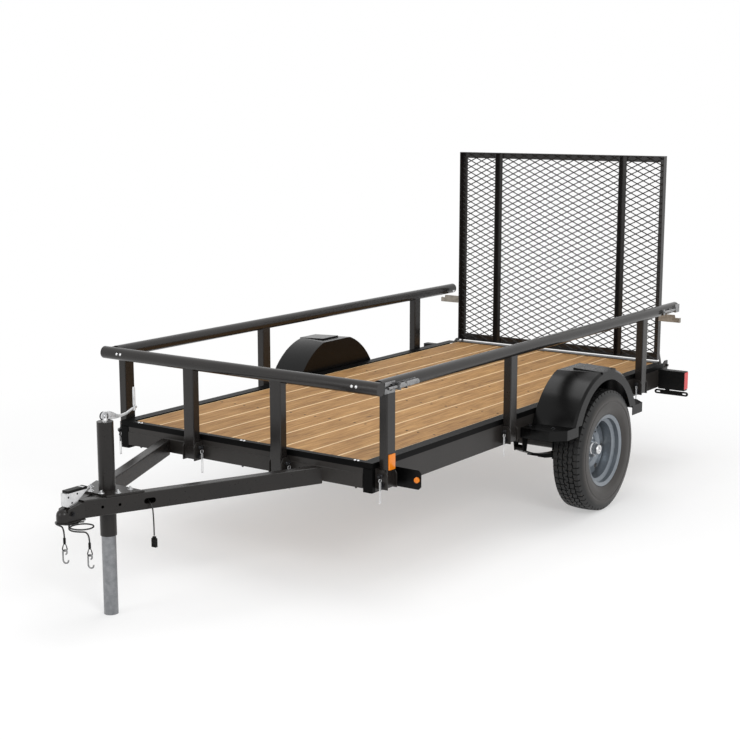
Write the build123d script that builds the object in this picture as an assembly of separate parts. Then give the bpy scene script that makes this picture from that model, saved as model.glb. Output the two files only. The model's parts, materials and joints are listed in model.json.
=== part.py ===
from build123d import *
import math
import os

# Single-axle utility trailer with a planked deck, fold-down tube rails and a mesh ramp.
# Frame: +X forwards to the coupler, +Y to the left, +Z up, origin on the ground under
# the middle of the trailer's box. Millimetres.

# ---------------------------------------------------------------- driving dimensions
FRAME_WIDTH = 1524.0          # over the side frames
FRAME_LENGTH = 3100.0         # front crossmember's face to the rear crossmember's face
FRAME_TOP = 563.0             # top of the side frames above the ground
SIDE_HEIGHT = 107.0           # side frame channel
SIDE_FLANGE = 50.0
SIDE_WALL = 3.2
FRONT_BEAM_HEIGHT = 75.0      # front crossmember channel
FRONT_LIP_SETBACK = 4.0       # deck-end plate above it stands back from its face
FRONT_LIP_BEND = 12.0         # bend below the planks' underside
BEAM_DEPTH = 50.0
BEAM_WALL = 4.0
BEAM_END_GAP = 0.5            # crossmember's end to the side frame's flange
REAR_BEAM_TOP = 590.0
REAR_BEAM_DEPTH = 58.0
REAR_BEAM_HEIGHT = 124.0

BOARD_COUNT = 9
BOARD_PITCH = 155.0
BOARD_GAP = 4.0
BOARD_THICKNESS = 38.0
BOARD_END_GAP = 1.0
DECK_TOP = 586.0
CROSS_COUNT = 5               # deck crossmembers between front and rear
CROSS_LEG = 50.0
CROSS_WALL = 5.0
CROSS_FIRST = 620.0           # behind the front face
EDGING_WIDTH = 58.0
EDGING_LIP = 34.0             # front edging's cover over the planks' ends
EDGING_WALL = 4.0
EDGING_GAP = 0.3
CAP_LENGTH = 26.0
CAP_CHAMFER = 3.0

TONGUE_ANGLE = 24.5           # each tongue tube from the centreline, degrees
TONGUE_TUBE_HEIGHT = 76.0
TONGUE_TUBE_WIDTH = 50.8
TONGUE_WALL = 4.0
TONGUE_CORNER = 6.0
TONGUE_TOP = 535.0
TONGUE_HALF_SPREAD = 490.0    # outer face of a tube at the front crossmember
TONGUE_TIP = 1000.0           # where the tubes end ahead of the front face
TONGUE_CENTRE_GAP = 0.3
LEAD_SLOT_AT = 742.0          # slot's middle ahead of the front face
LEAD_SLOT_LENGTH = 52.0
LEAD_SLOT_HEIGHT = 24.0
LEAD_SLOT_Z = 496.0
TUBE_HOLES_AT = [862.0, 930.0]
TUBE_HOLE_RADIUS = 6.5
COUPLER_REACH = 1120.0        # coupler's nose ahead of the front face
COUPLER_LIP = 6.0             # turned-out flange along its lower edge
COUPLER_LIP_WALL = 4.0
BALL_DIAMETER = 50.8
BALL_CLEARANCE = 0.6
BALL_DROP = 11.0              # ball's centre below the tongue tubes' middle
SOCKET_WALL = 4.0
SOCKET_DEPTH = 30.0           # straight part below the ball's centre
NECK_STEP = 6.0               # coupler's rear end below the tubes' top
NECK_FRONT_TOP = 511.0
LEVER_WIDTH = 32.0
LEVER_WALL = 3.0
LEVER_SEAT_GAP = 0.3

JACK_AT = 838.0               # jack's axis ahead of the front face
JACK_TUBE_OD = 69.9
JACK_TUBE_WALL = 3.5
JACK_TUBE_BOTTOM = 345.0
JACK_TUBE_TOP = 833.0
JACK_LEG_OD = 61.3
JACK_LEG_WALL = 3.0
JACK_LEG_FREE = 12.0          # leg's top below the cap when the leg is up
JACK_CAP = 6.0
JACK_STROKE = 285.0
CRANK_ARM = 168.0
CRANK_GRIP = 92.0
CRANK_DISC_RADIUS = 19.0
CRANK_DISC_HEIGHT = 12.0
CRANK_CLEVIS = 22.0
CRANK_BAR = 6.0
CRANK_BAR_HALF = 12.0
CRANK_GRIP_RADIUS = 9.0
JACK_PLATE_THICKNESS = 8.0
JACK_PLATE_HALF = 75.0

WHEEL_BEHIND = 1815.0         # axle's station behind the front face
TYRE_RADIUS = 325.0
TYRE_WIDTH = 172.0
TREAD_WIDTH = 138.0
TYRE_OUT = 158.0              # tread centre outboard of the side frame's face
RIM_FLANGE_RADIUS = 192.0
RIM_WIDTH = 134.0
RIM_SEAT_RADIUS = 177.0
RIM_WELL_DROP = 20.0
RIM_LEDGE_OUT = 24.0          # outer bead ledge's end from the flange
RIM_LEDGE_IN = 18.0
RIM_STEP = 10.0               # ledge's end to the well's start
RIM_WALL = 4.0
DISC_OFFSET = -32.0           # wheel disc's mounting face from the tread centre, inwards
DISC_WALL = 4.5
DISC_CROWN = 13.0             # pressed ring stands out from the mounting face
HAND_HOLE_COUNT = 6
HAND_HOLE_RADIUS = 17.0
HAND_HOLE_CIRCLE = 128.0
HUB_BORE_RADIUS = 33.0
LUG_COUNT = 5
LUG_CIRCLE = 114.3
LUG_STUD_RADIUS = 6.0
LUG_NUT_RADIUS = 11.0
LUG_NUT_HEIGHT = 16.0
STUD_GAP = 0.4
RIM_FIT = 0.3                 # bead to rim seat, and hub pilot to disc
TYRE_FLANGE_GAP = 1.5
AXLE_TUBE_OD = 60.3
AXLE_TUBE_WALL = 5.0
AXLE_PAST_SPRING = 60.0
AXLE_PLUG = 40.0
SPINDLE_RADIUS = 17.5
SPINDLE_PAST = 30.0           # spindle's end beyond the disc's mounting face
RUNNING_GAP = 0.05

SPRING_HALF = 450.0           # axle to each end of the top leaf
SPRING_LEAVES = 4
SPRING_LEAF = 7.0
SPRING_LEAF_STEP = 0.26       # each lower leaf is shorter by this share
SPRING_WIDTH = 44.5
SPRING_IN = 34.0              # spring's middle inboard of the side frame's face
SPRING_ARCH = 90.0
SPRING_SEAT_GAP = 0.3
SPRING_EYE = 15.0
SPRING_BOLT = 7.0
SPRING_BOLT_GAP = 0.2
TIE_PLATE = 9.5
U_BOLT_RADIUS = 6.0
HANGER_HALF = 32.0
HANGER_WALL = 5.0
HANGER_GAP = 1.0              # spring eye to each cheek

FENDER_IN_GAP = 6.0           # side frame's face to the fender's inner wall
FENDER_OUT = 238.0            # side frame's face to the fender's outer wall
FENDER_AHEAD = 15.0           # fender's middle ahead of the axle
FENDER_RISE = 48.0            # arch's centre above the axle
FENDER_RADIUS_IN = 405.0
FENDER_RADIUS_OUT = 388.0
FENDER_SHOULDER = 12.0
FENDER_FLAT_Z = 757.0
FENDER_WALL = 4.0
FENDER_OPENING = 302.0        # wheel opening in the outer wall
FENDER_OPENING_RISE = 81.0    # its centre above the axle
OPENING_FLARE = 16.0          # opening's sides spread through the skirt's height
PAD_HALF = 75.0               # raised pad on the crown
PAD_RISE = 8.0
PAD_INSET = 60.0
SHELF_Z = 515.0               # flat foot at each end of the fender
SHELF_SKIRT = 52.0
SHELF_HALF = 505.0
SHELF_CORNER = 66.0
FENDER_BAR = 30.0             # angle bar under each foot
FENDER_BAR_AT = 434.0         # each bar from the fender's middle

RAIL_TUBE_OD = 60.3
RAIL_TUBE_WALL = 3.0
RAIL_CAP = 4.0
RAIL_TOP_Z = 930.0            # rail tube's axis
RAIL_REAR_REACH = 13.0        # rail's end behind the rear crossmember's face
POST_LONG = 63.5              # along the rail
POST_DEEP = 44.0
POST_WALL = 3.0
POST_CORNER = 5.0
POST_STANDOFF = 5.0           # frame's face to the post
POST_DROP = 14.0              # post below its hinge bolt
HINGE_UP = 35.0               # hinge bolt above the frame's bottom
LOCK_UP = 42.0                # lock pin above the hinge bolt
HINGE_BOLT_RADIUS = 6.0
HINGE_BOLT_GAP = 0.3
EAR_THICKNESS = 5.0
EAR_GAP = 1.0
EAR_REACH = 54.0
EAR_FOOT = 14.0               # ear's bottom above the frame's
EAR_GABLE = 24.0              # ear's top above the lock pin
EAR_SHOULDER = 16.0
SIDE_POST_BACK = [78.0, 1147.0]
REAR_POST_AHEAD = 436.0       # rear post ahead of the rear crossmember's face
FRONT_POST_Y = [-263.0, 263.0]
FRONT_RAIL_PAST = 66.0        # front rail's end outboard of the side frame's face
RAIL_CORNER_GAP = 8.0

RAMP_SIDE_GAP = 51.0          # ramp's edge inboard of the side frame's face
RAMP_HEIGHT = 1226.0
RAMP_ANGLE = 38.0
RAMP_WALL = 4.0
RAMP_BOTTOM_GAP = 12.0        # ramp above the rear crossmember
RAMP_AHEAD = 17.0             # ramp's middle plane ahead of the rear crossmember's face
RAMP_BAR_Y = [-427.0, 437.0]
RAMP_PIVOT_BEHIND = 20.0
RAMP_PIVOT_Z = 568.0
RAMP_PIN_RADIUS = 8.0
RAMP_EAR_RADIUS = 13.0
RAMP_EAR_WALL = 6.0
LUG_PLATE = 8.0
LUG_INSET = 12.0              # lug plate's outer face inboard of the side frame's face
LUG_HALF_HEIGHT = 30.0        # lug above and below its pin
LUG_FOOT = 55.0               # lug's seat on the side frame
MESH_LONG = 76.2              # diamond's long way
MESH_SHORT = 38.1             # diamond's short way
MESH_STRAND = 5.5
MESH_STRAND_THICKNESS = 1.5
MESH_LAYER_GAP = 0.2          # between the two layers of strands
MESH_SEAT_GAP = 0.2
MESH_SEAT = 3.8               # room for the mesh between frame and upright bars
MESH_EDGE = 8.0               # mesh inside the ramp's outline
LATCH_ARM_WALL = 4.0
LATCH_ARM_TOP = 888.0
LATCH_ARM_HEIGHT = 45.0
LATCH_HORN = 28.0
LATCH_ARM_OUT = 84.0          # arm's tip outboard of the side frame's face

LAMP_BOX_WIDTH = 165.0
LAMP_BOX_HEIGHT = 115.0
LAMP_BOX_DEPTH = 48.0
LAMP_BOX_WALL = 4.0
LAMP_SETBACK = 120.0          # lamp box's front face ahead of the rear crossmember's face
LENS_GAP = 0.3
LENS_PROUD = 6.0              # lens's rear face behind the box
LENS_CORNER = 6.0
REAR_REACH = 34.0             # hinge lugs' rear edge behind the rear crossmember's face
PLATE_BAR_LENGTH = 215.0      # slotted bar that holds the number plate
PLATE_BAR_HEIGHT = 27.0
PLATE_BAR_INNER = 42.0        # its inner end inboard of the side frame's face
PLATE_SLOT_LENGTH = 24.0
PLATE_SLOT_HEIGHT = 8.0

MARKER_AT = 150.0             # marker plate behind the front face
MARKER_OUT = 157.0
MARKER_PLATE = 3.0
MARKER_HEIGHT = 88.0
MARKER_UP = 7.0               # plate's bottom above the side frame's bottom
MARKER_FLANGE = 32.0
MARKER_LAMP_RADIUS = 13.0
MARKER_LAMP_DEPTH = 11.0

LATCH_Z = 927.0
LATCH_SLOT = (34.0, 30.0)     # slot in the latch plate
LATCH_SLOT_BACK = 6.0         # slot behind the plate's middle
LATCH_FIRST_TAB = 8.0         # tabs behind the latch plate
LATCH_SECOND_TAB = 58.0
CATCH_ROD_RADIUS = 7.0
LATCH_SEAT_GAP = 0.3
LATCH_TAB_HALF = 16.0
LATCH_PLATE_LENGTH = 77.0
LATCH_BARREL_END = 234.0      # barrel's rear end from the rail's front end
LATCH_PLATE_HEIGHT = 50.0     # spring latches on the side rails
LATCH_BARREL_RADIUS = 12.0
LATCH_STRAP = 3.5
LATCH_SUNK = 1.0              # weld of barrel and rod into the strap

LEAD_DIAMETER = 6.0
PLUG_WIDTH = 24.0
PLUG_THICKNESS = 12.0
PLUG_NECK = 14.0
PLUG_LENGTH = 50.0
CABLE_DIAMETER = 6.5          # jacketed steel safety cables
CABLE_COIL_RADIUS = 50.0
CABLE_RUN = 44.0              # each run of the free end
# coil's centre ahead of the front face, its side, bottom and height, and its free end's angle
LEFT_COIL = (1031.0, 44.0, 430.0, 13.5, 33.0)
RIGHT_COIL = (1040.0, -24.0, 445.0, 6.5, -8.0)
ANCHOR_TURN = 180.0           # stud's place on the coil from the free end's
FERRULE_LENGTH = 26.0
FERRULE_RADIUS = 5.5
EYE_RADIUS = 13.0
EYE_HALF = 2.5                # half the eye's thickness
HOOK_RADIUS = 12.0
HOOK_WIRE = 7.0
ARC_SHARE = 0.45              # of a run, taken by the arc at its end

# ---------------------------------------------------------------- derived sizes
JACK_LEG_TOP = JACK_TUBE_TOP - JACK_CAP - JACK_LEG_FREE - JACK_STROKE
FRONT_X = (FRAME_LENGTH + REAR_REACH - COUPLER_REACH) / 2
REAR_X = FRONT_X - FRAME_LENGTH
HALF = FRAME_WIDTH / 2
FRAME_BOTTOM = FRAME_TOP - SIDE_HEIGHT
AXLE_X = FRONT_X - WHEEL_BEHIND
AXLE_Z = TYRE_RADIUS
TYRE_MID_Y = HALF + TYRE_OUT
SPRING_Y = HALF - SPRING_IN
SPRING_SEAT_Z = AXLE_Z - AXLE_TUBE_OD / 2 - SPRING_SEAT_GAP
FENDER_X = AXLE_X + FENDER_AHEAD
FENDER_INNER_Y = HALF + FENDER_IN_GAP
FENDER_OUTER_Y = HALF + FENDER_OUT
BOARD_BOTTOM = DECK_TOP - BOARD_THICKNESS
EDGING_TOP = DECK_TOP + EDGING_GAP + EDGING_WALL
BEAM_HALF = HALF - SIDE_FLANGE - BEAM_END_GAP
HINGE_Z = FRAME_BOTTOM + HINGE_UP
LOCK_Z = HINGE_Z + LOCK_UP
POST_Y = HALF + POST_STANDOFF + POST_DEEP / 2
FRONT_POST_X = FRONT_X + POST_STANDOFF + POST_DEEP / 2
FRONT_RAIL_HALF = HALF + FRONT_RAIL_PAST
TONGUE_MID_Z = TONGUE_TOP - TONGUE_TUBE_HEIGHT / 2
TONGUE_BOTTOM = TONGUE_TOP - TONGUE_TUBE_HEIGHT
JACK_X = FRONT_X + JACK_AT
RAMP_WIDTH = FRAME_WIDTH - 2 * RAMP_SIDE_GAP
RAMP_X = REAR_X + RAMP_AHEAD
RAMP_BOTTOM = REAR_BEAM_TOP + RAMP_BOTTOM_GAP
RAMP_TOP = RAMP_BOTTOM + RAMP_HEIGHT
RAMP_PIVOT_X = REAR_X - RAMP_PIVOT_BEHIND
LAMP_X = REAR_X + LAMP_SETBACK
LAMP_BOTTOM = FRAME_TOP - LAMP_BOX_HEIGHT
BALL_X = FRONT_X + COUPLER_REACH - COUPLER_LIP - SOCKET_WALL - BALL_DIAMETER / 2
BALL_Z = TONGUE_MID_Z - BALL_DROP
SPRING_RADIUS = (SPRING_HALF ** 2 + SPRING_ARCH ** 2) / (2 * SPRING_ARCH)
SPRING_TILT = math.asin(SPRING_HALF / SPRING_RADIUS)
SPRING_EYE_HALF = SPRING_HALF - (SPRING_EYE - SPRING_LEAF) * math.sin(SPRING_TILT)
SPRING_EYE_Z = SPRING_SEAT_Z + SPRING_ARCH + (SPRING_EYE - SPRING_LEAF) * math.cos(SPRING_TILT)
SPRING_EYE_XS = [AXLE_X - SPRING_EYE_HALF, AXLE_X + SPRING_EYE_HALF]
# lead: from inside the left tongue tube, out through its slot, and down to the plug
LEAD_POINTS = [(FRONT_X + 722.7, 109.6, 496.0), (FRONT_X + 751.0, 171.9, 490.0),
               (FRONT_X + 752.0, 180.0, 425.0), (FRONT_X + 752.0, 180.0, 352.0)]

os.makedirs("parts", exist_ok=True)


def block(x, y, z):
    """Box between three (low, high) pairs."""
    size = [v[1] - v[0] for v in (x, y, z)]
    middle = [(v[0] + v[1]) / 2 for v in (x, y, z)]
    return Pos(*middle) * Box(*size)


def rod(start, end, radius):
    """Round bar between two points."""
    start = Vector(*start)
    run = Vector(*end) - start
    return extrude(Plane(start, z_dir=run) * Circle(radius), run.length)


def pipe(start, end, radius, wall):
    """Round tube between two points."""
    start = Vector(*start)
    run = Vector(*end) - start
    ring = Circle(radius) - Circle(radius - wall)
    return extrude(Plane(start, z_dir=run) * ring, run.length)


def along_x(profile, x0, x1):
    """Profile drawn as (y, z), run from x0 to x1."""
    plane = Plane((x0, 0, 0), x_dir=(0, 1, 0), z_dir=(1, 0, 0))
    return extrude(plane * profile, x1 - x0)


def along_y(profile, y0, y1):
    """Profile drawn as (x, z), run from y0 to y1."""
    plane = Plane((0, y0, 0), x_dir=(1, 0, 0), z_dir=(0, -1, 0))
    return extrude(plane * profile, y0 - y1)


def outline(*points):
    """Closed face through (u, v) points."""
    return make_face(Polyline(*points, close=True))


def lathe_y(points, x, y, z):
    """Ring of (radius, offset along +Y) points turned about the Y line at x, z."""
    profile = Plane((x, y, z), x_dir=(1, 0, 0), z_dir=(0, 0, 1)) * outline(*points)
    return revolve(profile, Axis((x, y, z), (0, 1, 0)), 360)


def right_of(shape):
    """The left-hand piece's twin on the right side."""
    return mirror(shape, about=Plane.XZ)


def save(shape, name):
    """Write one sub-part."""
    shape.label = name
    export_step(shape, f"parts/{name}.step")


def save_pair(shape, name):
    """Write a left-hand piece and its mirrored twin."""
    save(shape, f"{name}_left")
    save(right_of(shape), f"{name}_right")


def join(shapes):
    """One solid from shapes that overlap or meet face to face."""
    first, *others = shapes
    return first + others


def group(*shapes):
    """Solids that share a node without touching."""
    solids = [s for shape in shapes for s in shape.solids()]
    return Compound(children=solids)


# ---------------------------------------------------------------- frame
def side_frame():
    inner = HALF - SIDE_FLANGE
    web = HALF - SIDE_WALL
    low = FRAME_BOTTOM + SIDE_WALL
    high = FRAME_TOP - SIDE_WALL
    channel = outline((inner, FRAME_BOTTOM), (HALF, FRAME_BOTTOM), (HALF, FRAME_TOP),
                      (inner, FRAME_TOP), (inner, high), (web, high), (web, low), (inner, low))
    return along_x(channel, REAR_X, FRONT_X - CAP_LENGTH)


def front_crossmember():
    """Channel under the planks whose face steps back to a lip that covers their ends."""
    w = BEAM_WALL
    bottom = BOARD_BOTTOM - FRONT_BEAM_HEIGHT
    bend = BOARD_BOTTOM - FRONT_LIP_BEND
    back = FRONT_X - BEAM_DEPTH
    lip = FRONT_X - FRONT_LIP_SETBACK
    profile = outline((back, bottom), (FRONT_X, bottom), (FRONT_X, bend), (lip, bend + FRONT_LIP_SETBACK),
                      (lip, FRAME_TOP), (lip - w, FRAME_TOP), (lip - w, BOARD_BOTTOM), (back, BOARD_BOTTOM),
                      (back, BOARD_BOTTOM - w), (lip - w, BOARD_BOTTOM - w), (lip - w, bend - w),
                      (FRONT_X - w, bend - 2 * w), (FRONT_X - w, bottom + w), (back, bottom + w))
    return along_y(profile, -BEAM_HALF, BEAM_HALF)


def rear_crossmember():
    w = BEAM_WALL
    front = REAR_X + REAR_BEAM_DEPTH
    bottom = REAR_BEAM_TOP - REAR_BEAM_HEIGHT
    profile = outline((REAR_X, bottom), (front, bottom), (front, bottom + w), (REAR_X + w, bottom + w),
                      (REAR_X + w, REAR_BEAM_TOP - w), (front, REAR_BEAM_TOP - w), (front, REAR_BEAM_TOP),
                      (REAR_X, REAR_BEAM_TOP))
    return along_y(profile, -BEAM_HALF, BEAM_HALF)


def deck_crossmembers():
    """Angles under the planks, evenly spaced between the end crossmembers."""
    half = HALF - SIDE_WALL
    first = FRONT_X - CROSS_FIRST
    last = REAR_X + REAR_BEAM_DEPTH + CROSS_LEG
    step = (first - last) / (CROSS_COUNT - 1)
    beams = []
    for i in range(CROSS_COUNT):
        x = first - i * step
        angle = outline((x, BOARD_BOTTOM), (x - CROSS_LEG, BOARD_BOTTOM),
                        (x - CROSS_LEG, BOARD_BOTTOM - CROSS_WALL),
                        (x - CROSS_WALL, BOARD_BOTTOM - CROSS_WALL),
                        (x - CROSS_WALL, BOARD_BOTTOM - CROSS_LEG), (x, BOARD_BOTTOM - CROSS_LEG))
        beams.append(along_y(angle, -half, half))
    return group(*beams)


def deck_boards():
    front = FRONT_X - FRONT_LIP_SETBACK - BEAM_WALL - BOARD_END_GAP
    rear = REAR_X + REAR_BEAM_DEPTH + BOARD_END_GAP
    width = BOARD_PITCH - BOARD_GAP
    boards = []
    for i in range(BOARD_COUNT):
        y = (i - (BOARD_COUNT - 1) / 2) * BOARD_PITCH
        boards.append(block((rear, front), (y - width / 2, y + width / 2), (BOARD_BOTTOM, DECK_TOP)))
    return group(*boards)


def deck_edging():
    """Folded trim over the deck's two sides and its front end."""
    w = EDGING_WALL
    rear = REAR_X + REAR_BEAM_DEPTH + BOARD_END_GAP
    inner = HALF - EDGING_WIDTH
    low = EDGING_TOP - w
    face = FRONT_X - FRONT_LIP_SETBACK
    back = FRONT_X - EDGING_LIP
    side = along_x(outline((inner, low), (HALF - w, low), (HALF - w, FRAME_TOP), (HALF, FRAME_TOP),
                           (HALF, EDGING_TOP), (inner, EDGING_TOP)), rear, face)
    across = along_y(outline((back, low), (face - w, low), (face - w, FRAME_TOP), (face, FRAME_TOP),
                             (face, EDGING_TOP), (back, EDGING_TOP)), -HALF, HALF)
    return side + right_of(side) + across


def corner_caps():
    cap = block((FRONT_X - CAP_LENGTH, FRONT_X), (HALF - SIDE_FLANGE, HALF), (FRAME_BOTTOM, FRAME_TOP))
    cap = chamfer(cap.edges().filter_by(Axis.Z).group_by(Axis.X)[-1], CAP_CHAMFER)
    return group(cap, right_of(cap))


# ---------------------------------------------------------------- tongue
def tongue_half_width(ahead):
    """Outer face of the tongue tubes at a distance ahead of the front face."""
    return TONGUE_HALF_SPREAD - ahead * math.tan(math.radians(TONGUE_ANGLE))


def tongue_tube():
    angle = math.radians(TONGUE_ANGLE)
    run = Vector(math.cos(angle), -math.sin(angle), 0)
    side = Vector(math.sin(angle), math.cos(angle), 0)
    axis = Vector(FRONT_X, TONGUE_HALF_SPREAD, TONGUE_MID_Z) - side * (TONGUE_TUBE_WIDTH / 2)
    section = RectangleRounded(TONGUE_TUBE_WIDTH, TONGUE_TUBE_HEIGHT, TONGUE_CORNER)
    section -= RectangleRounded(TONGUE_TUBE_WIDTH - 2 * TONGUE_WALL, TONGUE_TUBE_HEIGHT - 2 * TONGUE_WALL,
                                TONGUE_CORNER / 2)
    tube = extrude(Plane(axis - run * TONGUE_TUBE_HEIGHT, x_dir=side, z_dir=run) * section, 1.5 * TONGUE_TIP)
    tube &= block((FRONT_X, FRONT_X + TONGUE_TIP), (TONGUE_CENTRE_GAP, HALF), (TONGUE_BOTTOM, TONGUE_TOP))
    slot_y = tongue_half_width(LEAD_SLOT_AT)
    face = Plane((FRONT_X + LEAD_SLOT_AT, slot_y, LEAD_SLOT_Z), x_dir=run, z_dir=side)
    tube -= extrude(face * SlotOverall(LEAD_SLOT_LENGTH, LEAD_SLOT_HEIGHT), TONGUE_TUBE_WIDTH / 2, both=True)
    for ahead in TUBE_HOLES_AT:
        face = Plane((FRONT_X + ahead, tongue_half_width(ahead), TONGUE_MID_Z), x_dir=run, z_dir=side)
        tube -= extrude(face * Circle(TUBE_HOLE_RADIUS), TONGUE_TUBE_WIDTH / 2, both=True)
    return tube


def coupler():
    """Pressed channel that narrows to the ball socket, with a lip turned out along its lower edge."""
    back = FRONT_X + TONGUE_TIP
    nose = BALL_DIAMETER / 2 + SOCKET_WALL
    cavity = BALL_DIAMETER / 2 + BALL_CLEARANCE
    bottom = BALL_Z - SOCKET_DEPTH
    rear_half = tongue_half_width(TONGUE_TIP)
    rear_top = TONGUE_TOP - NECK_STEP
    neck = loft([Plane((back, 0, (rear_top + bottom) / 2), x_dir=(0, 1, 0), z_dir=(1, 0, 0))
                 * Rectangle(2 * rear_half, rear_top - bottom),
                 Plane((BALL_X, 0, (NECK_FRONT_TOP + bottom) / 2), x_dir=(0, 1, 0), z_dir=(1, 0, 0))
                 * Rectangle(2 * nose - SOCKET_WALL, NECK_FRONT_TOP - bottom)])
    dome = Pos(BALL_X, 0, BALL_Z) * Sphere(nose)
    skirt = rod((BALL_X, 0, bottom), (BALL_X, 0, BALL_Z), nose)
    lip_plan = outline((back, -rear_half - COUPLER_LIP), (BALL_X, -nose - COUPLER_LIP),
                       (BALL_X, nose + COUPLER_LIP), (back, rear_half + COUPLER_LIP))
    lip_plan += Pos(BALL_X, 0) * Circle(nose + COUPLER_LIP)
    lip = extrude(Plane((0, 0, bottom)) * lip_plan, COUPLER_LIP_WALL)
    shell = neck + dome + skirt + lip
    shell -= Pos(BALL_X, 0, BALL_Z) * Sphere(cavity)
    shell -= rod((BALL_X, 0, bottom - SOCKET_WALL), (BALL_X, 0, BALL_Z), cavity)
    trough = nose - 2 * SOCKET_WALL
    shell -= block((back + 2 * SOCKET_WALL, BALL_X - nose + SOCKET_WALL), (-trough, trough),
                   (bottom - SOCKET_WALL, NECK_FRONT_TOP - SOCKET_WALL))
    return shell


def neck_top(ahead):
    """Height of the coupler's sloping top at a distance ahead of the front face."""
    share = (ahead - TONGUE_TIP) / (BALL_X - FRONT_X - TONGUE_TIP)
    return TONGUE_TOP - NECK_STEP + share * (NECK_FRONT_TOP - TONGUE_TOP + NECK_STEP)


def coupler_lever():
    """Folded channel, open below, that rests on the coupler's sloping top."""
    w = LEVER_WALL
    seat_rear, seat_front = TONGUE_TIP + 30, TONGUE_TIP + 61
    tip, top, gap = TONGUE_TIP, TONGUE_TOP, LEVER_SEAT_GAP
    side = [(seat_rear, neck_top(seat_rear) + gap), (seat_front, neck_top(seat_front) + gap),
            (tip + 81, top - 12), (tip + 80, top + 42), (tip - 19, top + 53), (tip - 43, top + 43),
            (tip + 11, top + 5)]
    inside = [(tip - 60, BALL_Z), (tip + 81 - w, BALL_Z), (tip + 80 - w, top + 42 - w),
              (tip - 19, top + 53 - w), (tip - 60, top + 36 - w)]
    half = LEVER_WIDTH / 2
    body = along_y(Pos(FRONT_X, 0) * outline(*side), -half, half)
    return body - along_y(Pos(FRONT_X, 0) * outline(*inside), w - half, half - w)


# ---------------------------------------------------------------- jack
def jack_tube():
    tube = pipe((JACK_X, 0, JACK_TUBE_BOTTOM), (JACK_X, 0, JACK_TUBE_TOP), JACK_TUBE_OD / 2, JACK_TUBE_WALL)
    cap = rod((JACK_X, 0, JACK_TUBE_TOP - JACK_CAP), (JACK_X, 0, JACK_TUBE_TOP), JACK_TUBE_OD / 2)
    return tube + cap


def jack_mount_plate():
    """Plate across both tongue tubes, with a bore for the jack's tube."""
    front, rear = JACK_AT + JACK_PLATE_HALF, JACK_AT - JACK_PLATE_HALF
    half_front, half_rear = tongue_half_width(front), tongue_half_width(rear)
    plan = outline((FRONT_X + rear, -half_rear), (FRONT_X + front, -half_front),
                   (FRONT_X + front, half_front), (FRONT_X + rear, half_rear))
    plan -= Pos(JACK_X, 0) * Circle(JACK_TUBE_OD / 2)
    return extrude(Plane((0, 0, TONGUE_TOP)) * plan, JACK_PLATE_THICKNESS)


def jack_crank():
    """Hub disc on the tube's cap, a flat arm to the rear and a grip that stands up from it."""
    disc_top = JACK_TUBE_TOP + CRANK_DISC_HEIGHT
    disc = rod((JACK_X, 0, JACK_TUBE_TOP), (JACK_X, 0, disc_top), CRANK_DISC_RADIUS)
    clevis = block((JACK_X - CRANK_BAR_HALF, JACK_X + CRANK_BAR_HALF), (-CRANK_BAR_HALF, CRANK_BAR_HALF),
                   (disc_top, disc_top + CRANK_CLEVIS))
    arm_low = disc_top + CRANK_CLEVIS - CRANK_BAR
    grip_x = JACK_X - CRANK_ARM
    arm = block((grip_x - CRANK_BAR_HALF, JACK_X + CRANK_BAR_HALF), (-CRANK_BAR_HALF, CRANK_BAR_HALF),
                (arm_low, arm_low + CRANK_BAR))
    grip = rod((grip_x, 0, arm_low), (grip_x, 0, arm_low + CRANK_BAR + CRANK_GRIP), CRANK_GRIP_RADIUS)
    return disc + clevis + arm + grip


def jack_leg():
    tube = pipe((JACK_X, 0, 0), (JACK_X, 0, JACK_LEG_TOP), JACK_LEG_OD / 2, JACK_LEG_WALL)
    return tube + rod((JACK_X, 0, 0), (JACK_X, 0, JACK_LEG_WALL), JACK_LEG_OD / 2)


# ---------------------------------------------------------------- axle and wheels
def axle_beam():
    """Round tube with a stub spindle in each end and a seat for each spring."""
    radius = AXLE_TUBE_OD / 2
    end = SPRING_Y + AXLE_PAST_SPRING
    root = end - AXLE_PLUG
    spindle_end = TYRE_MID_Y + DISC_OFFSET + SPINDLE_PAST
    beam = pipe((AXLE_X, -end, AXLE_Z), (AXLE_X, end, AXLE_Z), radius, AXLE_TUBE_WALL)
    for side in (-1, 1):
        beam += rod((AXLE_X, side * root, AXLE_Z), (AXLE_X, side * spindle_end, AXLE_Z), SPINDLE_RADIUS)
        beam += rod((AXLE_X, side * root, AXLE_Z), (AXLE_X, side * end, AXLE_Z), radius - AXLE_TUBE_WALL / 2)
        seat = block((AXLE_X - radius, AXLE_X + radius), (side * SPRING_Y - radius, side * SPRING_Y + radius),
                     (SPRING_SEAT_Z + 3 * SPRING_SEAT_GAP, SPRING_SEAT_Z + 2 * AXLE_TUBE_WALL))
        beam += seat - rod((AXLE_X, -HALF, AXLE_Z), (AXLE_X, HALF, AXLE_Z), radius - AXLE_TUBE_WALL / 2)
    return beam


def tyre():
    r = TYRE_RADIUS
    half = TYRE_WIDTH / 2
    bead = RIM_SEAT_RADIUS + RIM_FIT
    flange = RIM_FLANGE_RADIUS + TYRE_FLANGE_GAP
    bead_half = RIM_WIDTH / 2 - 8.5
    widest = (r + bead) / 2 + 4
    # (radius, distance from the tread's centre): outside of one half, then its inside
    outside = [(bead, bead_half), (flange, bead_half + 6), (flange + 7, half - 10), (widest, half),
               (r - 26, half - 5), (r - 8, TREAD_WIDTH / 2 + 4), (r, TREAD_WIDTH / 2 - 6)]
    inside = [(r - 22, half - 30), (bead + 12, bead_half - 12)]
    ring = outside + [(u, -v) for u, v in reversed(outside)] + [(u, -v) for u, v in reversed(inside)] + inside
    return lathe_y(ring, AXLE_X, TYRE_MID_Y, AXLE_Z)


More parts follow.
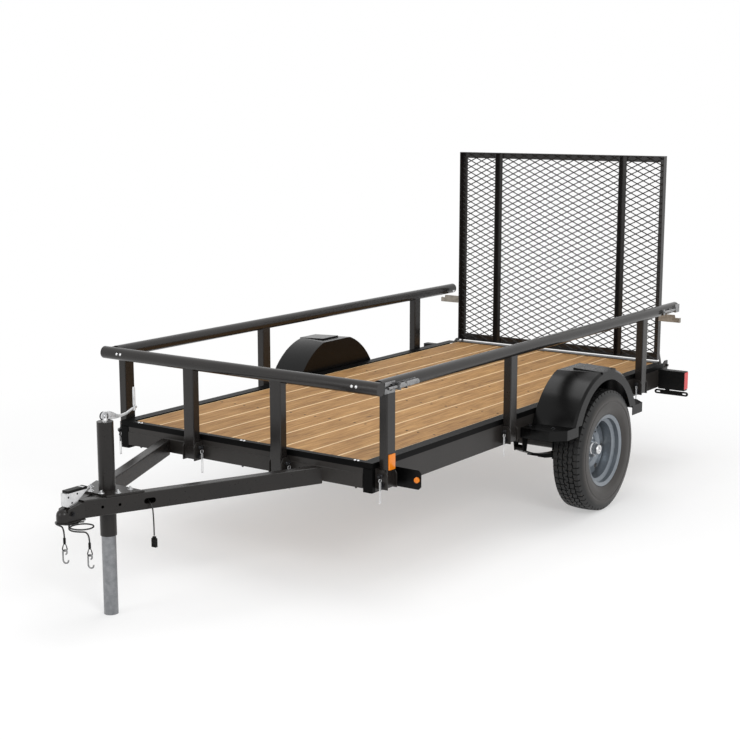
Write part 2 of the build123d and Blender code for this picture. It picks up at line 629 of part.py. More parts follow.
def wheel_circle(count, radius, start=0.0):
    """Even places on a circle about the wheel's axis, as (x, z)."""
    turns = [start + 2 * math.pi * i / count for i in range(count)]
    return [(AXLE_X + radius * math.cos(a), AXLE_Z + radius * math.sin(a)) for a in turns]


def wheel():
    """Rolled rim with a drop centre, and a pressed disc with hand holes and lug holes."""
    half = RIM_WIDTH / 2
    seat = RIM_SEAT_RADIUS
    well = seat - RIM_WELL_DROP
    w = RIM_WALL
    ends = ((half, 1, RIM_LEDGE_OUT), (-half, -1, RIM_LEDGE_IN))
    outside, inside = [], []
    for end, way, ledge in ends:
        slope = ledge + RIM_STEP
        outside.append([(RIM_FLANGE_RADIUS, end), (seat, end - way * 6), (seat, end - way * ledge),
                        (well, end - way * slope)])
        inside.append([(RIM_FLANGE_RADIUS, end + way * w), (seat - w, end - way * 3),
                       (seat - w, end - way * (ledge + w / 2)), (well - w, end - way * (slope + w / 2))])
    ring = outside[0] + outside[1][::-1] + inside[1] + inside[0][::-1]
    rim = lathe_y(ring, AXLE_X, TYRE_MID_Y, AXLE_Z)
    t, crown = DISC_WALL, DISC_CROWN
    face = [(HUB_BORE_RADIUS, 0), (85, 0), (105, crown), (140, crown), (well - w, -8), (well - w, t - 6),
            (142, crown + t), (104, crown + t), (83, t), (HUB_BORE_RADIUS, t)]
    disc = lathe_y(face, AXLE_X, TYRE_MID_Y + DISC_OFFSET, AXLE_Z)
    inner_y, outer_y = TYRE_MID_Y - half, TYRE_MID_Y + half
    for x, z in wheel_circle(HAND_HOLE_COUNT, HAND_HOLE_CIRCLE):
        disc -= rod((x, inner_y, z), (x, outer_y, z), HAND_HOLE_RADIUS)
    for x, z in wheel_circle(LUG_COUNT, LUG_CIRCLE / 2, math.pi / 2):
        disc -= rod((x, inner_y, z), (x, outer_y, z), LUG_STUD_RADIUS + STUD_GAP)
    return rim + disc


def hub():
    """Bearing barrel, flange and dust cap, with the lug studs and their nuts."""
    y = TYRE_MID_Y + DISC_OFFSET
    bore = SPINDLE_RADIUS + RUNNING_GAP
    pilot = HUB_BORE_RADIUS - RIM_FIT
    body = lathe_y([(bore, -62), (34, -62), (34, -14), (72, -12), (72, 0), (pilot, 0), (pilot, 30), (28, 34),
                    (27, 64), (24, 68), (12, 68), (12, 64), (0, 64), (0, 34), (bore, 34)], AXLE_X, y, AXLE_Z)
    for x, z in wheel_circle(LUG_COUNT, LUG_CIRCLE / 2, math.pi / 2):
        body += rod((x, y - 6, z), (x, y + 26, z), LUG_STUD_RADIUS)
        seat = Plane((x, y + DISC_WALL, z), x_dir=(1, 0, 0), z_dir=(0, 1, 0))
        body += extrude(seat * RegularPolygon(LUG_NUT_RADIUS, 6), LUG_NUT_HEIGHT)
    return body


# ---------------------------------------------------------------- springs
def leaf_spring():
    """Stack of arched leaves clamped under the axle, the top one rolled into an eye at each end."""
    low_y, high_y = SPRING_Y - SPRING_WIDTH / 2, SPRING_Y + SPRING_WIDTH / 2
    stack = []
    for i in range(SPRING_LEAVES):
        r = SPRING_RADIUS + i * SPRING_LEAF
        spread = 2 * r * math.tan(math.asin(SPRING_HALF * (1 - SPRING_LEAF_STEP * i) / r))
        wedge = outline((0, 0), (-spread, -2 * r), (spread, -2 * r))
        leaf = (Circle(r + SPRING_LEAF) - Circle(r)) & wedge
        stack.append(along_y(Pos(AXLE_X, SPRING_SEAT_Z + SPRING_RADIUS) * leaf, low_y, high_y))
    for x in SPRING_EYE_XS:
        stack.append(pipe((x, low_y, SPRING_EYE_Z), (x, high_y, SPRING_EYE_Z), SPRING_EYE,
                          SPRING_EYE - SPRING_BOLT - SPRING_BOLT_GAP))
    plate_top = SPRING_SEAT_Z - SPRING_LEAVES * SPRING_LEAF
    loop = AXLE_TUBE_OD / 2 + SPRING_SEAT_GAP + U_BOLT_RADIUS
    bolt_low = plate_top - TIE_PLATE - 2 * U_BOLT_RADIUS
    for y in (low_y - U_BOLT_RADIUS - 1, high_y + U_BOLT_RADIUS + 1):
        bend = Plane((AXLE_X + loop, y, AXLE_Z), x_dir=(1, 0, 0), z_dir=(0, 0, 1)) * Circle(U_BOLT_RADIUS)
        stack.append(revolve(bend, Axis((AXLE_X, y, AXLE_Z), (0, -1, 0)), 180))
        for x in (AXLE_X - loop, AXLE_X + loop):
            stack.append(rod((x, y, bolt_low), (x, y, AXLE_Z), U_BOLT_RADIUS))
    stack.append(block((AXLE_X - loop - 10, AXLE_X + loop + 10), (low_y - 16, high_y + 16),
                       (plate_top - TIE_PLATE, plate_top)))
    return join(stack)


def spring_hangers():
    """Pairs of tapered cheeks under the side frames, with the eye bolts across them."""
    inner = SPRING_Y - SPRING_WIDTH / 2 - HANGER_GAP - HANGER_WALL
    outer = SPRING_Y + SPRING_WIDTH / 2 + HANGER_GAP
    hangers = []
    for x in SPRING_EYE_XS:
        tip = SPRING_EYE_Z - SPRING_EYE
        cheek = outline((x - HANGER_HALF, FRAME_BOTTOM), (x + HANGER_HALF, FRAME_BOTTOM),
                        (x + SPRING_EYE, tip), (x - SPRING_EYE, tip))
        bridge = block((x - HANGER_HALF, x + HANGER_HALF), (inner, outer + HANGER_WALL),
                       (FRAME_BOTTOM - HANGER_WALL, FRAME_BOTTOM))
        bolt = rod((x, inner, SPRING_EYE_Z), (x, outer + HANGER_WALL, SPRING_EYE_Z), SPRING_BOLT)
        cheeks = [along_y(cheek, y, y + HANGER_WALL) for y in (inner, outer)]
        hangers.append(join([bridge, bolt, *cheeks]))
    return group(*hangers, *[right_of(h) for h in hangers])


# ---------------------------------------------------------------- fenders
def fender():
    """Tapered round arch with a flat crown, a raised pad, and a skirted foot at each end."""
    w = FENDER_WALL
    inner, outer = FENDER_INNER_Y, FENDER_OUTER_Y
    centre_z = AXLE_Z + FENDER_RISE
    shoulder = outer - FENDER_SHOULDER

    def arch(grow, low, high):
        """Tapered drum cut flat on top, with every face set in by grow."""
        crown, edge = FENDER_RADIUS_OUT - grow, FENDER_RADIUS_OUT - FENDER_SHOULDER - grow
        drum = lathe_y([(0, inner + grow), (FENDER_RADIUS_IN - grow, inner + grow), (crown, shoulder - grow),
                        (edge, outer - grow), (0, outer - grow)], FENDER_X, 0, centre_z)
        reach = 2 * FENDER_RADIUS_IN
        return drum & block((FENDER_X - reach, FENDER_X + reach), (inner, outer), (low, high))

    def pad(grow, low):
        """Raised pad on the crown, level with the outer wall."""
        side, top = inner + PAD_INSET + grow, FENDER_FLAT_Z - grow
        face = outline((side, low), (outer - grow, low), (outer - grow, top), (side, top + PAD_RISE))
        return along_x(face, AXLE_X - PAD_HALF + grow, AXLE_X + PAD_HALF - grow)

    def foot(grow, end):
        """Flat shelf with corners cut off, drawn down to its skirt's edge."""
        tip, back = SHELF_HALF - grow, FENDER_OPENING + SHELF_CORNER / 4
        side = inner - grow / 2
        plan = outline((end * back, side), (end * tip, side), (end * tip, outer - SHELF_CORNER),
                       (end * (tip - SHELF_CORNER), outer - grow), (end * back, outer - grow))
        return extrude(Plane((FENDER_X, 0, SHELF_Z - SHELF_SKIRT)) * plan, SHELF_SKIRT - grow)

    shell = arch(0, SHELF_Z, FENDER_FLAT_Z) + pad(0, SHELF_Z + w) + foot(0, 1) + foot(0, -1)
    shell -= foot(w, 1) + foot(w, -1)
    shell -= arch(w, SHELF_Z - SHELF_SKIRT, FENDER_FLAT_Z - w)
    shell -= pad(w, FENDER_FLAT_Z - 2 * w)
    opening = Pos(FENDER_X, AXLE_Z + FENDER_OPENING_RISE) * Circle(FENDER_OPENING)
    wide, narrow = FENDER_OPENING + OPENING_FLARE, FENDER_OPENING - OPENING_FLARE
    opening += Pos(FENDER_X, SHELF_Z - SHELF_SKIRT) * outline((-wide, -w), (wide, -w), (narrow, SHELF_SKIRT),
                                                              (-narrow, SHELF_SKIRT))
    return shell - along_y(opening, outer - 2 * w, outer + w)


def fender_brackets():
    """Angle bars from the side frames out under the fenders' feet."""
    top = SHELF_Z - FENDER_WALL
    bars = []
    for x in (FENDER_X - FENDER_BAR_AT, FENDER_X + FENDER_BAR_AT):
        front, rear = x + FENDER_BAR / 2, x - FENDER_BAR / 2
        web = rear + BEAM_WALL
        face = outline((rear, top), (front, top), (front, top - BEAM_WALL), (web, top - BEAM_WALL),
                       (web, top - FENDER_BAR), (rear, top - FENDER_BAR))
        bars.append(along_y(face, HALF, FENDER_OUTER_Y - SHELF_CORNER))
    return group(*bars, *[right_of(b) for b in bars])


# ---------------------------------------------------------------- folding rails
def post(x, y, turned):
    """Rectangular tube from the hinge to the rail; turned posts stand along Y."""
    section = RectangleRounded(POST_LONG, POST_DEEP, POST_CORNER)
    section -= RectangleRounded(POST_LONG - 2 * POST_WALL, POST_DEEP - 2 * POST_WALL, POST_CORNER / 2)
    if turned:
        section = Rot(0, 0, 90) * section
    low = HINGE_Z - POST_DROP
    return extrude(Plane((x, y, low)) * section, RAIL_TOP_Z - low)


def rail(start, end, places, turned):
    """Capped round tube on posts, each bored for its hinge bolt and lock pin."""
    start, end = Vector(*start), Vector(*end)
    run = (end - start).normalized()
    radius = RAIL_TUBE_OD / 2
    bar = pipe(start, end, radius, RAIL_TUBE_WALL)
    bar += rod(start, start + run * RAIL_CAP, radius)
    bar += rod(end - run * RAIL_CAP, end, radius)
    across = Vector(0, POST_LONG, 0) if turned else Vector(POST_LONG, 0, 0)
    for x, y in places:
        leg = post(x, y, turned) - rod(start, end, radius)
        for z in (HINGE_Z, LOCK_Z):
            at = Vector(x, y, z)
            leg -= rod(at - across, at + across, HINGE_BOLT_RADIUS + HINGE_BOLT_GAP)
        bar += leg
    return bar


def side_posts():
    rear_back = FRAME_LENGTH - REAR_POST_AHEAD
    return [(FRONT_X - back, POST_Y) for back in (*SIDE_POST_BACK, rear_back)]


def side_rail():
    front = FRONT_POST_X - RAIL_TUBE_OD / 2 - RAIL_CORNER_GAP
    rear = REAR_X - RAIL_REAR_REACH
    return rail((rear, POST_Y, RAIL_TOP_Z), (front, POST_Y, RAIL_TOP_Z), side_posts(), False)


def front_rail():
    places = [(FRONT_POST_X, y) for y in FRONT_POST_Y]
    return rail((FRONT_POST_X, -FRONT_RAIL_HALF, RAIL_TOP_Z), (FRONT_POST_X, FRONT_RAIL_HALF, RAIL_TOP_Z),
                places, True)


def rail_bracket(x, y, turned):
    """Two ears welded to the frame, with the hinge bolt and the lock pin across them."""
    inner = POST_LONG / 2 + EAR_GAP
    outer = inner + EAR_THICKNESS
    root = -POST_STANDOFF - POST_DEEP / 2
    tip = root + EAR_REACH
    ear = outline((root, FRAME_BOTTOM + EAR_FOOT), (tip, FRAME_BOTTOM + EAR_FOOT), (tip, LOCK_Z),
                  (tip - EAR_SHOULDER, LOCK_Z + EAR_GABLE), (root, LOCK_Z + EAR_GABLE))
    head = outer + EAR_THICKNESS
    pieces = [along_x(ear, -outer, -inner), along_x(ear, inner, outer),
              rod((-head, 0, HINGE_Z), (head, 0, HINGE_Z), HINGE_BOLT_RADIUS),
              rod((-head, 0, LOCK_Z), (-inner, 0, LOCK_Z), HINGE_BOLT_RADIUS),
              rod((inner, 0, LOCK_Z), (head, 0, LOCK_Z), HINGE_BOLT_RADIUS)]
    return Pos(x, y, 0) * Rot(0, 0, -90 if turned else 0) * join(pieces)


def rail_brackets():
    left = [rail_bracket(x, y, False) for x, y in side_posts()]
    front = [rail_bracket(FRONT_POST_X, y, True) for y in FRONT_POST_Y]
    return group(*left, *[right_of(s) for s in left], *front)


def rail_latches():
    """Spring latch at the front of a side rail, and the catch rod at its rear."""
    seat = POST_Y + RAIL_TUBE_OD / 2 + LATCH_SEAT_GAP
    back = seat + LATCH_STRAP
    axis_y = back + LATCH_BARREL_RADIUS - LATCH_SUNK
    front = FRONT_POST_X - RAIL_TUBE_OD / 2 - RAIL_CORNER_GAP
    low, high = LATCH_Z - LATCH_PLATE_HEIGHT / 2, LATCH_Z + LATCH_PLATE_HEIGHT / 2
    tab = (LATCH_Z - LATCH_TAB_HALF, LATCH_Z + LATCH_TAB_HALF)
    end_x = front - LATCH_PLATE_LENGTH
    middle = (front + end_x) / 2 - LATCH_SLOT_BACK
    slot = along_y(Pos(middle, LATCH_Z) * SlotOverall(*LATCH_SLOT), seat - 1, back + 1)
    pin = rod((end_x - 10, axis_y, LATCH_Z), (front - 8, axis_y, LATCH_Z), LATCH_BARREL_RADIUS / 2)
    plate = block((end_x, front), (seat, back), (low, high)) - slot
    strap = block((front - LATCH_BARREL_END, front), (seat, back), tab) - slot
    tabs = [block((x - LATCH_STRAP, x), (seat, axis_y + LATCH_BARREL_RADIUS), tab)
            for x in (end_x - LATCH_FIRST_TAB, end_x - LATCH_SECOND_TAB)]
    barrel = rod((front - LATCH_BARREL_END, axis_y, LATCH_Z), (end_x - 2, axis_y, LATCH_Z),
                 LATCH_BARREL_RADIUS)
    front_latch = join([plate - pin, strap, barrel, pin, *tabs])
    end = REAR_X - RAIL_REAR_REACH + RAIL_CAP
    reach, foot_x = end + LATCH_PLATE_LENGTH, end + 3 * LATCH_PLATE_LENGTH
    rod_y = axis_y - CATCH_ROD_RADIUS / 2
    knob = block((end, end + LATCH_PLATE_LENGTH * 0.8), (seat, back), (low + 2, high))
    link = block((end, end + 2 * LATCH_PLATE_LENGTH), (seat, back), (LATCH_Z - 12, LATCH_Z + 12))
    foot = block((foot_x, foot_x + 20), (seat, axis_y), tab)
    catch = rod((reach, rod_y, LATCH_Z), (foot_x + 6, rod_y, LATCH_Z), CATCH_ROD_RADIUS)
    eye = block((reach, reach + 8), (seat, axis_y + 4), tab)
    return group(front_latch, join([link, knob, eye, catch, foot]))


# ---------------------------------------------------------------- ramp
def ramp_frame():
    """Welded angle frame with two upright bars and an ear with a hinge pin on each side."""
    a, w = RAMP_ANGLE, RAMP_WALL
    half = RAMP_WIDTH / 2
    rear, front = RAMP_X - a / 2, RAMP_X + a / 2
    rise = (RAMP_BOTTOM, RAMP_TOP)
    pieces = []
    for side in (-1, 1):
        pieces.append(block((rear, front), sorted((side * half, side * (half - w))), rise))
        pieces.append(block((rear, rear + w), sorted((side * half, side * (half - a))), rise))
    for edge, leg in (((RAMP_BOTTOM, RAMP_BOTTOM + w), (RAMP_BOTTOM, RAMP_BOTTOM + a)),
                      ((RAMP_TOP - w, RAMP_TOP), (RAMP_TOP - a, RAMP_TOP))):
        pieces.append(block((rear, front), (-half, half), edge))
        pieces.append(block((rear, rear + w), (-half, half), leg))
    bar = rear + w + MESH_SEAT
    for y in RAMP_BAR_Y:
        pieces.append(block((bar, front), (y - a / 2, y - a / 2 + w), rise))
        pieces.append(block((bar, bar + w), (y - a / 2, y + a / 2), rise))
    r = RAMP_EAR_RADIUS
    x, z = RAMP_PIVOT_X, RAMP_PIVOT_Z
    cheek = outline((rear, RAMP_BOTTOM + a), (x - r, z), (x + r, z), (x + r, RAMP_BOTTOM),
                    (rear + a, RAMP_BOTTOM), (rear + a, RAMP_BOTTOM + a))
    cheek += Pos(x, z) * Circle(r)
    for side in (-1, 1):
        inner, pin_end = side * (half - RAMP_EAR_WALL), side * (HALF - 2)
        pieces.append(along_y(cheek, *sorted((side * half, inner))))
        pieces.append(rod((x, inner, z), (x, pin_end, z), RAMP_PIN_RADIUS))
    return join(pieces)


def ramp_mesh():
    """Expanded metal: two layers of flat strands that cross in a lattice of diamonds."""
    half = RAMP_WIDTH / 2 - MESH_EDGE
    low, high = RAMP_BOTTOM + MESH_EDGE, RAMP_TOP - MESH_EDGE
    middle = (low + high) / 2
    window = Pos(0, middle) * Rectangle(2 * half, high - low)
    slope = math.degrees(math.atan2(MESH_SHORT, MESH_LONG))
    count = math.ceil((half / MESH_LONG + (high - low) / 2 / MESH_SHORT))
    plane = RAMP_X - RAMP_ANGLE / 2 + RAMP_WALL
    strands = []
    for layer, turn in enumerate((slope, -slope)):
        x = plane + MESH_SEAT_GAP + layer * (MESH_STRAND_THICKNESS + MESH_LAYER_GAP)
        for i in range(-count, count + 1):
            bar = Pos(0, middle + i * MESH_SHORT) * Rot(0, 0, turn) * Rectangle(4 * half, MESH_STRAND)
            for face in (bar & window).faces():
                if face.area > MESH_STRAND * MESH_SHORT:
                    strands.append(along_x(face, x, x + MESH_STRAND_THICKNESS))
    return group(*strands)


def ramp_latch_plate():
    """Plate bolted to the ramp's side, with an arm that reaches behind the rail's tube."""
    w = LATCH_ARM_WALL
    inner, tip = RAMP_WIDTH / 2, HALF + LATCH_ARM_OUT
    face = RAMP_X + RAMP_ANGLE / 2
    foot = LATCH_ARM_TOP - LATCH_ARM_HEIGHT
    seat = block((face - RAMP_ANGLE + w, face), (inner, inner + w), (foot, LATCH_ARM_TOP))
    arm = outline((inner, foot), (tip, foot), (tip, foot + LATCH_HORN), (tip - LATCH_HORN, foot + LATCH_HORN),
                  (tip - LATCH_HORN - w, LATCH_ARM_TOP), (inner, LATCH_ARM_TOP))
    horn = block((face - RAMP_ANGLE / 2, face), (tip - w, tip), (foot, foot + LATCH_HORN))
    return join([seat, along_x(arm, face - w, face), horn])


def hinge_lug():
    """Plate behind the side frame that the ramp's pin turns in."""
    high, low = RAMP_PIVOT_Z + LUG_HALF_HEIGHT, RAMP_PIVOT_Z - LUG_HALF_HEIGHT
    rear = REAR_X - REAR_REACH
    plate = outline((REAR_X + LUG_FOOT, FRAME_TOP), (REAR_X, high), (rear, high), (rear, low), (REAR_X, low),
                    (REAR_X, FRAME_TOP))
    plate -= Pos(RAMP_PIVOT_X, RAMP_PIVOT_Z) * Circle(RAMP_PIN_RADIUS + RUNNING_GAP)
    outer = HALF - LUG_INSET
    return along_y(plate, outer - LUG_PLATE, outer)


# ---------------------------------------------------------------- lamps
def lamp_bracket():
    """Box on the side frame, open to the rear and at its outer end, that holds the tail lamp."""
    w = LAMP_BOX_WALL
    back = LAMP_X - LAMP_BOX_DEPTH
    outer = HALF + LAMP_BOX_WIDTH
    box = block((back, LAMP_X), (HALF, outer), (LAMP_BOTTOM, FRAME_TOP))
    return box - block((back - w, LAMP_X - w), (HALF + w, outer + w), (LAMP_BOTTOM + w, FRAME_TOP - w))


def plate_bar():
    """Slotted bar that hangs below the left lamp box and holds the number plate."""
    x = LAMP_X - LAMP_BOX_DEPTH
    y0 = HALF - PLATE_BAR_INNER
    z = LAMP_BOTTOM - PLATE_BAR_HEIGHT
    strip = Pos(y0 + PLATE_BAR_LENGTH / 2, z) * SlotOverall(PLATE_BAR_LENGTH, PLATE_BAR_HEIGHT)
    for end in (y0 + PLATE_SLOT_LENGTH, y0 + PLATE_BAR_LENGTH - PLATE_SLOT_LENGTH):
        strip -= Pos(end, z) * SlotOverall(PLATE_SLOT_LENGTH, PLATE_SLOT_HEIGHT)
    near, far, top = HALF + PLATE_BAR_HEIGHT, HALF + 2 * PLATE_BAR_HEIGHT, LAMP_BOTTOM + 1
    strip += outline((near, z), (far, z), (far, top), (near, top))
    return along_x(strip, x, x + LAMP_BOX_WALL)


def tail_lamp():
    """Moulded red lens that fills the lamp box and wraps round its outer end."""
    edge = LAMP_BOX_WALL + LENS_GAP
    lens = block((LAMP_X - LAMP_BOX_DEPTH - LENS_PROUD, LAMP_X - edge), (HALF + edge, HALF + LAMP_BOX_WIDTH),
                 (LAMP_BOTTOM + edge, FRAME_TOP - edge))
    return fillet(lens.edges().filter_by(Axis.X), LENS_CORNER)


def side_marker_bracket():
    """Plate that stands out from the side frame behind the front corner, with its mounting flange."""
    x = FRONT_X - MARKER_AT
    z = (FRAME_BOTTOM + MARKER_UP, FRAME_BOTTOM + MARKER_UP + MARKER_HEIGHT)
    plate = block((x - MARKER_PLATE, x), (HALF, HALF + MARKER_OUT), z)
    plate = chamfer(plate.edges().filter_by(Axis.X).group_by(Axis.Y)[-1], MARKER_LAMP_RADIUS)
    return plate + block((x - MARKER_FLANGE, x), (HALF, HALF + MARKER_PLATE), z)


def side_marker_lamp():
    """Round amber lamp on the marker plate's front."""
    x = FRONT_X - MARKER_AT
    y = HALF + MARKER_OUT - 1.5 * MARKER_LAMP_RADIUS
    z = FRAME_BOTTOM + MARKER_UP + MARKER_HEIGHT / 2
    lamp = rod((x, y, z), (x + MARKER_LAMP_DEPTH, y, z), MARKER_LAMP_RADIUS)
    return fillet(lamp.edges().group_by(Axis.X)[-1], MARKER_LAMP_DEPTH / 3)


# ---------------------------------------------------------------- cords
def route(points, radius, name):
    """Tube of straight runs joined by arcs as large as the runs allow; prints the arcs' radii."""
    points = [Vector(*p) for p in points]
    radii = []
    for before, at, after in zip(points, points[1:], points[2:]):
        run_in, run_out = at - before, after - at
        half_turn = math.radians(run_in.get_angle(run_out)) / 2
        radii.append(ARC_SHARE * min(run_in.length, run_out.length) / math.tan(half_turn))
    print(name, "arc radii", [round(r, 1) for r in radii], "mm")
    path = FilletPolyline(*points, radius=radii)
    print(name, "length", round(path.length, 1), "mm")
    return sweep(Plane(points[0], z_dir=points[1] - points[0]) * Circle(radius), path)


def wiring_lead():
    return route(LEAD_POINTS, LEAD_DIAMETER / 2, "wiring_lead")


def wiring_plug():
    """Flat moulded plug with a narrower neck at the lead."""
    x, y, top = LEAD_POINTS[-1]
    neck_low = top - PLUG_NECK
    neck = rod((x, y, neck_low), (x, y, top), PLUG_THICKNESS / 2)
    half_width, half_deep = PLUG_WIDTH / 2, PLUG_THICKNESS / 2
    body = block((x - half_deep, x + half_deep), (y - half_width, y + half_width),
                 (top - PLUG_LENGTH, neck_low))
    return neck + fillet(body.edges().filter_by(Axis.Z), PLUG_THICKNESS / 4)


def safety_coil(x, y, z, height, leave):
    """Outer shape of a safety cable's coil under the coupler, as one ring."""
    half = CABLE_DIAMETER / 2
    ring = Circle(CABLE_COIL_RADIUS + half) - Circle(CABLE_COIL_RADIUS - half)
    return extrude(Plane((FRONT_X + x, y, z)) * ring, height)


def cable_points(x, y, z, height, leave):
    """Route of a cable's free end, off the coil's lowest turn and down to the ferrule."""
    a = math.radians(leave)
    off = Vector(FRONT_X + x, y, z - CABLE_DIAMETER / 2)
    off += Vector(math.cos(a), math.sin(a), 0) * CABLE_COIL_RADIUS
    turn = off + Vector(-math.sin(a), math.cos(a), 0) * CABLE_RUN
    return [tuple(off), tuple(turn), (turn.X, turn.Y, turn.Z - CABLE_RUN)]


def cable_hook(points):
    """Swaged ferrule with the cable's eye below it and an S-hook in the eye."""
    x, y, z = points[-1]
    wire = HOOK_WIRE / 2
    pieces = [rod((x, y, z - FERRULE_LENGTH), (x, y, z), FERRULE_RADIUS)]
    centre = z - FERRULE_LENGTH - EYE_RADIUS + wire
    for radius, step in ((EYE_RADIUS, EYE_RADIUS + HOOK_RADIUS - wire), (HOOK_RADIUS, 2 * HOOK_RADIUS),
                         (HOOK_RADIUS, 0)):
        facing = Plane((x, y, centre), x_dir=(0, 0, 1), z_dir=(1, 1, 0))
        ring = Circle(radius + wire) - Circle(radius - wire)
        pieces.append(extrude(facing * ring, wire if radius == HOOK_RADIUS else EYE_HALF, both=True))
        centre -= step
    return join(pieces)


def cable_anchors():
    """Studs under the tongue tubes that the coils hang from."""
    studs = []
    for x, y, z, height, leave in (LEFT_COIL, RIGHT_COIL):
        a = math.radians(leave + ANCHOR_TURN)
        at = Vector(FRONT_X + x + CABLE_COIL_RADIUS * math.cos(a), y + CABLE_COIL_RADIUS * math.sin(a), 0)
        studs.append(rod((at.X, at.Y, z + height), (at.X, at.Y, TONGUE_BOTTOM), FERRULE_RADIUS))
    return group(*studs)


save_pair(side_frame(), "side_frame")
save(front_crossmember(), "front_crossmember")
save(rear_crossmember(), "rear_crossmember")
save(deck_crossmembers(), "deck_crossmembers")
save(deck_boards(), "deck_boards")
save(deck_edging(), "deck_edging")
save(corner_caps(), "corner_caps")
save_pair(tongue_tube(), "tongue_tube")
save(coupler(), "coupler")
save(coupler_lever(), "coupler_lever")
save(jack_tube(), "jack_tube")
save(jack_mount_plate(), "jack_mount_plate")
save(jack_crank(), "jack_crank")
save(jack_leg(), "jack_leg")
save(axle_beam(), "axle_beam")
save_pair(leaf_spring(), "leaf_spring")
save(spring_hangers(), "spring_hangers")
save_pair(fender(), "fender")
save(fender_brackets(), "fender_brackets")
save_pair(tyre(), "tyre")
save_pair(wheel(), "wheel")
save_pair(hub(), "hub")
save_pair(side_rail(), "side_rail")
save(front_rail(), "front_rail")
save(rail_brackets(), "rail_brackets")
save_pair(rail_latches(), "rail_latches")
save(ramp_frame(), "ramp_frame")
save(ramp_mesh(), "ramp_mesh")
save(group(ramp_latch_plate(), right_of(ramp_latch_plate())), "ramp_latch_plates")
save(group(hinge_lug(), right_of(hinge_lug())), "ramp_hinge_lugs")
save(lamp_bracket() + plate_bar(), "lamp_bracket_left")
save(right_of(lamp_bracket()), "lamp_bracket_right")
save_pair(tail_lamp(), "tail_lamp")
save(group(side_marker_bracket(), right_of(side_marker_bracket())), "side_marker_brackets")
save(group(side_marker_lamp(), right_of(side_marker_lamp())), "side_marker_lamps")
save(wiring_lead(), "wiring_lead")
save(wiring_plug(), "wiring_plug")
save(cable_anchors(), "cable_anchors")
for side, coil in (("left", LEFT_COIL), ("right", RIGHT_COIL)):
    path = cable_points(*coil)
    save(safety_coil(*coil), f"safety_coil_{side}")
    save(route(path, CABLE_DIAMETER / 2, f"safety_cable_{side}"), f"safety_cable_{side}")
    save(cable_hook(path), f"cable_hook_{side}")
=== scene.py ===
"""Dresses the utility trailer: finishes, tyres, mesh, hardware, cords, floor, lights and camera."""
import json
import math

import bmesh
import bpy
from mathutils import Matrix, Vector

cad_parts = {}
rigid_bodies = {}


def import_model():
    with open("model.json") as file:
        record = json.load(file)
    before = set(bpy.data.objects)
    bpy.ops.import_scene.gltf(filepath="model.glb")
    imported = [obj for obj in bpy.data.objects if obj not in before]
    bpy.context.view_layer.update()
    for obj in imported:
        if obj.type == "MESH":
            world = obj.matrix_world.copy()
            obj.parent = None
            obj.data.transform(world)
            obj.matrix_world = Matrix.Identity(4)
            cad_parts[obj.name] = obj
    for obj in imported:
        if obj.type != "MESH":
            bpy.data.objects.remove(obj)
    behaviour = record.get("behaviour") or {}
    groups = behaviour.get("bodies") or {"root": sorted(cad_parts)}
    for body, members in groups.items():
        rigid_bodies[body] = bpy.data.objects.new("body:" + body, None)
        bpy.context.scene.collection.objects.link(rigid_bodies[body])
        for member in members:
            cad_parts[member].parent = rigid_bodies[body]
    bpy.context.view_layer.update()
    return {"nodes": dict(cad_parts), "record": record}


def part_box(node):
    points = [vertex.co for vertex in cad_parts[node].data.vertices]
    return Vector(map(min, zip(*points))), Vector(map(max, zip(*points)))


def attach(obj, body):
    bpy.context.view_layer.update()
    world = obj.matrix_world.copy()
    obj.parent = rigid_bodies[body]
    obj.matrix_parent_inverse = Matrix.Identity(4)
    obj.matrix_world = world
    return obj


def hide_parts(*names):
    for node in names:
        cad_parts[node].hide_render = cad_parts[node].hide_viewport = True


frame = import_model()
nodes = frame["nodes"]

# ------------------------------------------------------------- places read from the frame, metres
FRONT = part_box("front_crossmember")[1].x
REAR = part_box("rear_crossmember")[0].x
FRAME_LOW, FRAME_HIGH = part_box("side_frame_left")
HALF = FRAME_HIGH.y
DECK_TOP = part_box("deck_boards")[1].z
EDGING_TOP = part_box("deck_edging")[1].z
TYRE_LOW, TYRE_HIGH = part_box("tyre_left")
TYRE_RADIUS = (TYRE_HIGH.z - TYRE_LOW.z) / 2
TYRE_Y = (TYRE_HIGH.y + TYRE_LOW.y) / 2
AXLE = Vector(((TYRE_LOW.x + TYRE_HIGH.x) / 2, 0, TYRE_RADIUS))
RIM_FACE_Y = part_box("wheel_left")[1].y
MESH_LOW, MESH_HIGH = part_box("ramp_mesh")
JACK_LOW, JACK_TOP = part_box("jack_tube")
JACK_X = (JACK_LOW.x + JACK_TOP.x) / 2
PLATE_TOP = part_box("jack_mount_plate")[1].z
LEVER_LOW, LEVER_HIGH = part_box("coupler_lever")
RAIL_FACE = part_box("front_rail")[1].x
RAIL_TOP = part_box("front_rail")[1].z
FENDER_LOW, FENDER_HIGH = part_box("fender_left")
FOOT_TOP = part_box("fender_brackets")[1].z

# sizes of the part that no box gives, in metres
SIDE_POSTS = (FRONT - 0.078, FRONT - 1.147, REAR + 0.436)
FRONT_POSTS = (-0.263, 0.263)
POST_LONG, POST_DEEP = 0.0635, 0.044
POST_OUT = 0.027              # posts' middle outside the frame's face
POST_Y = HALF + POST_OUT
FRONT_POST_X = FRONT + POST_OUT
HINGE_Z = FRAME_LOW.z + 0.035
LOCK_Z = HINGE_Z + 0.042
BOARD_PITCH = 0.155
RAMP_HALF = HALF - 0.002
RAMP_X = REAR + 0.017
CROSSMEMBERS = (FRONT - 0.645, REAR + 0.083)         # first and last of those under the planks


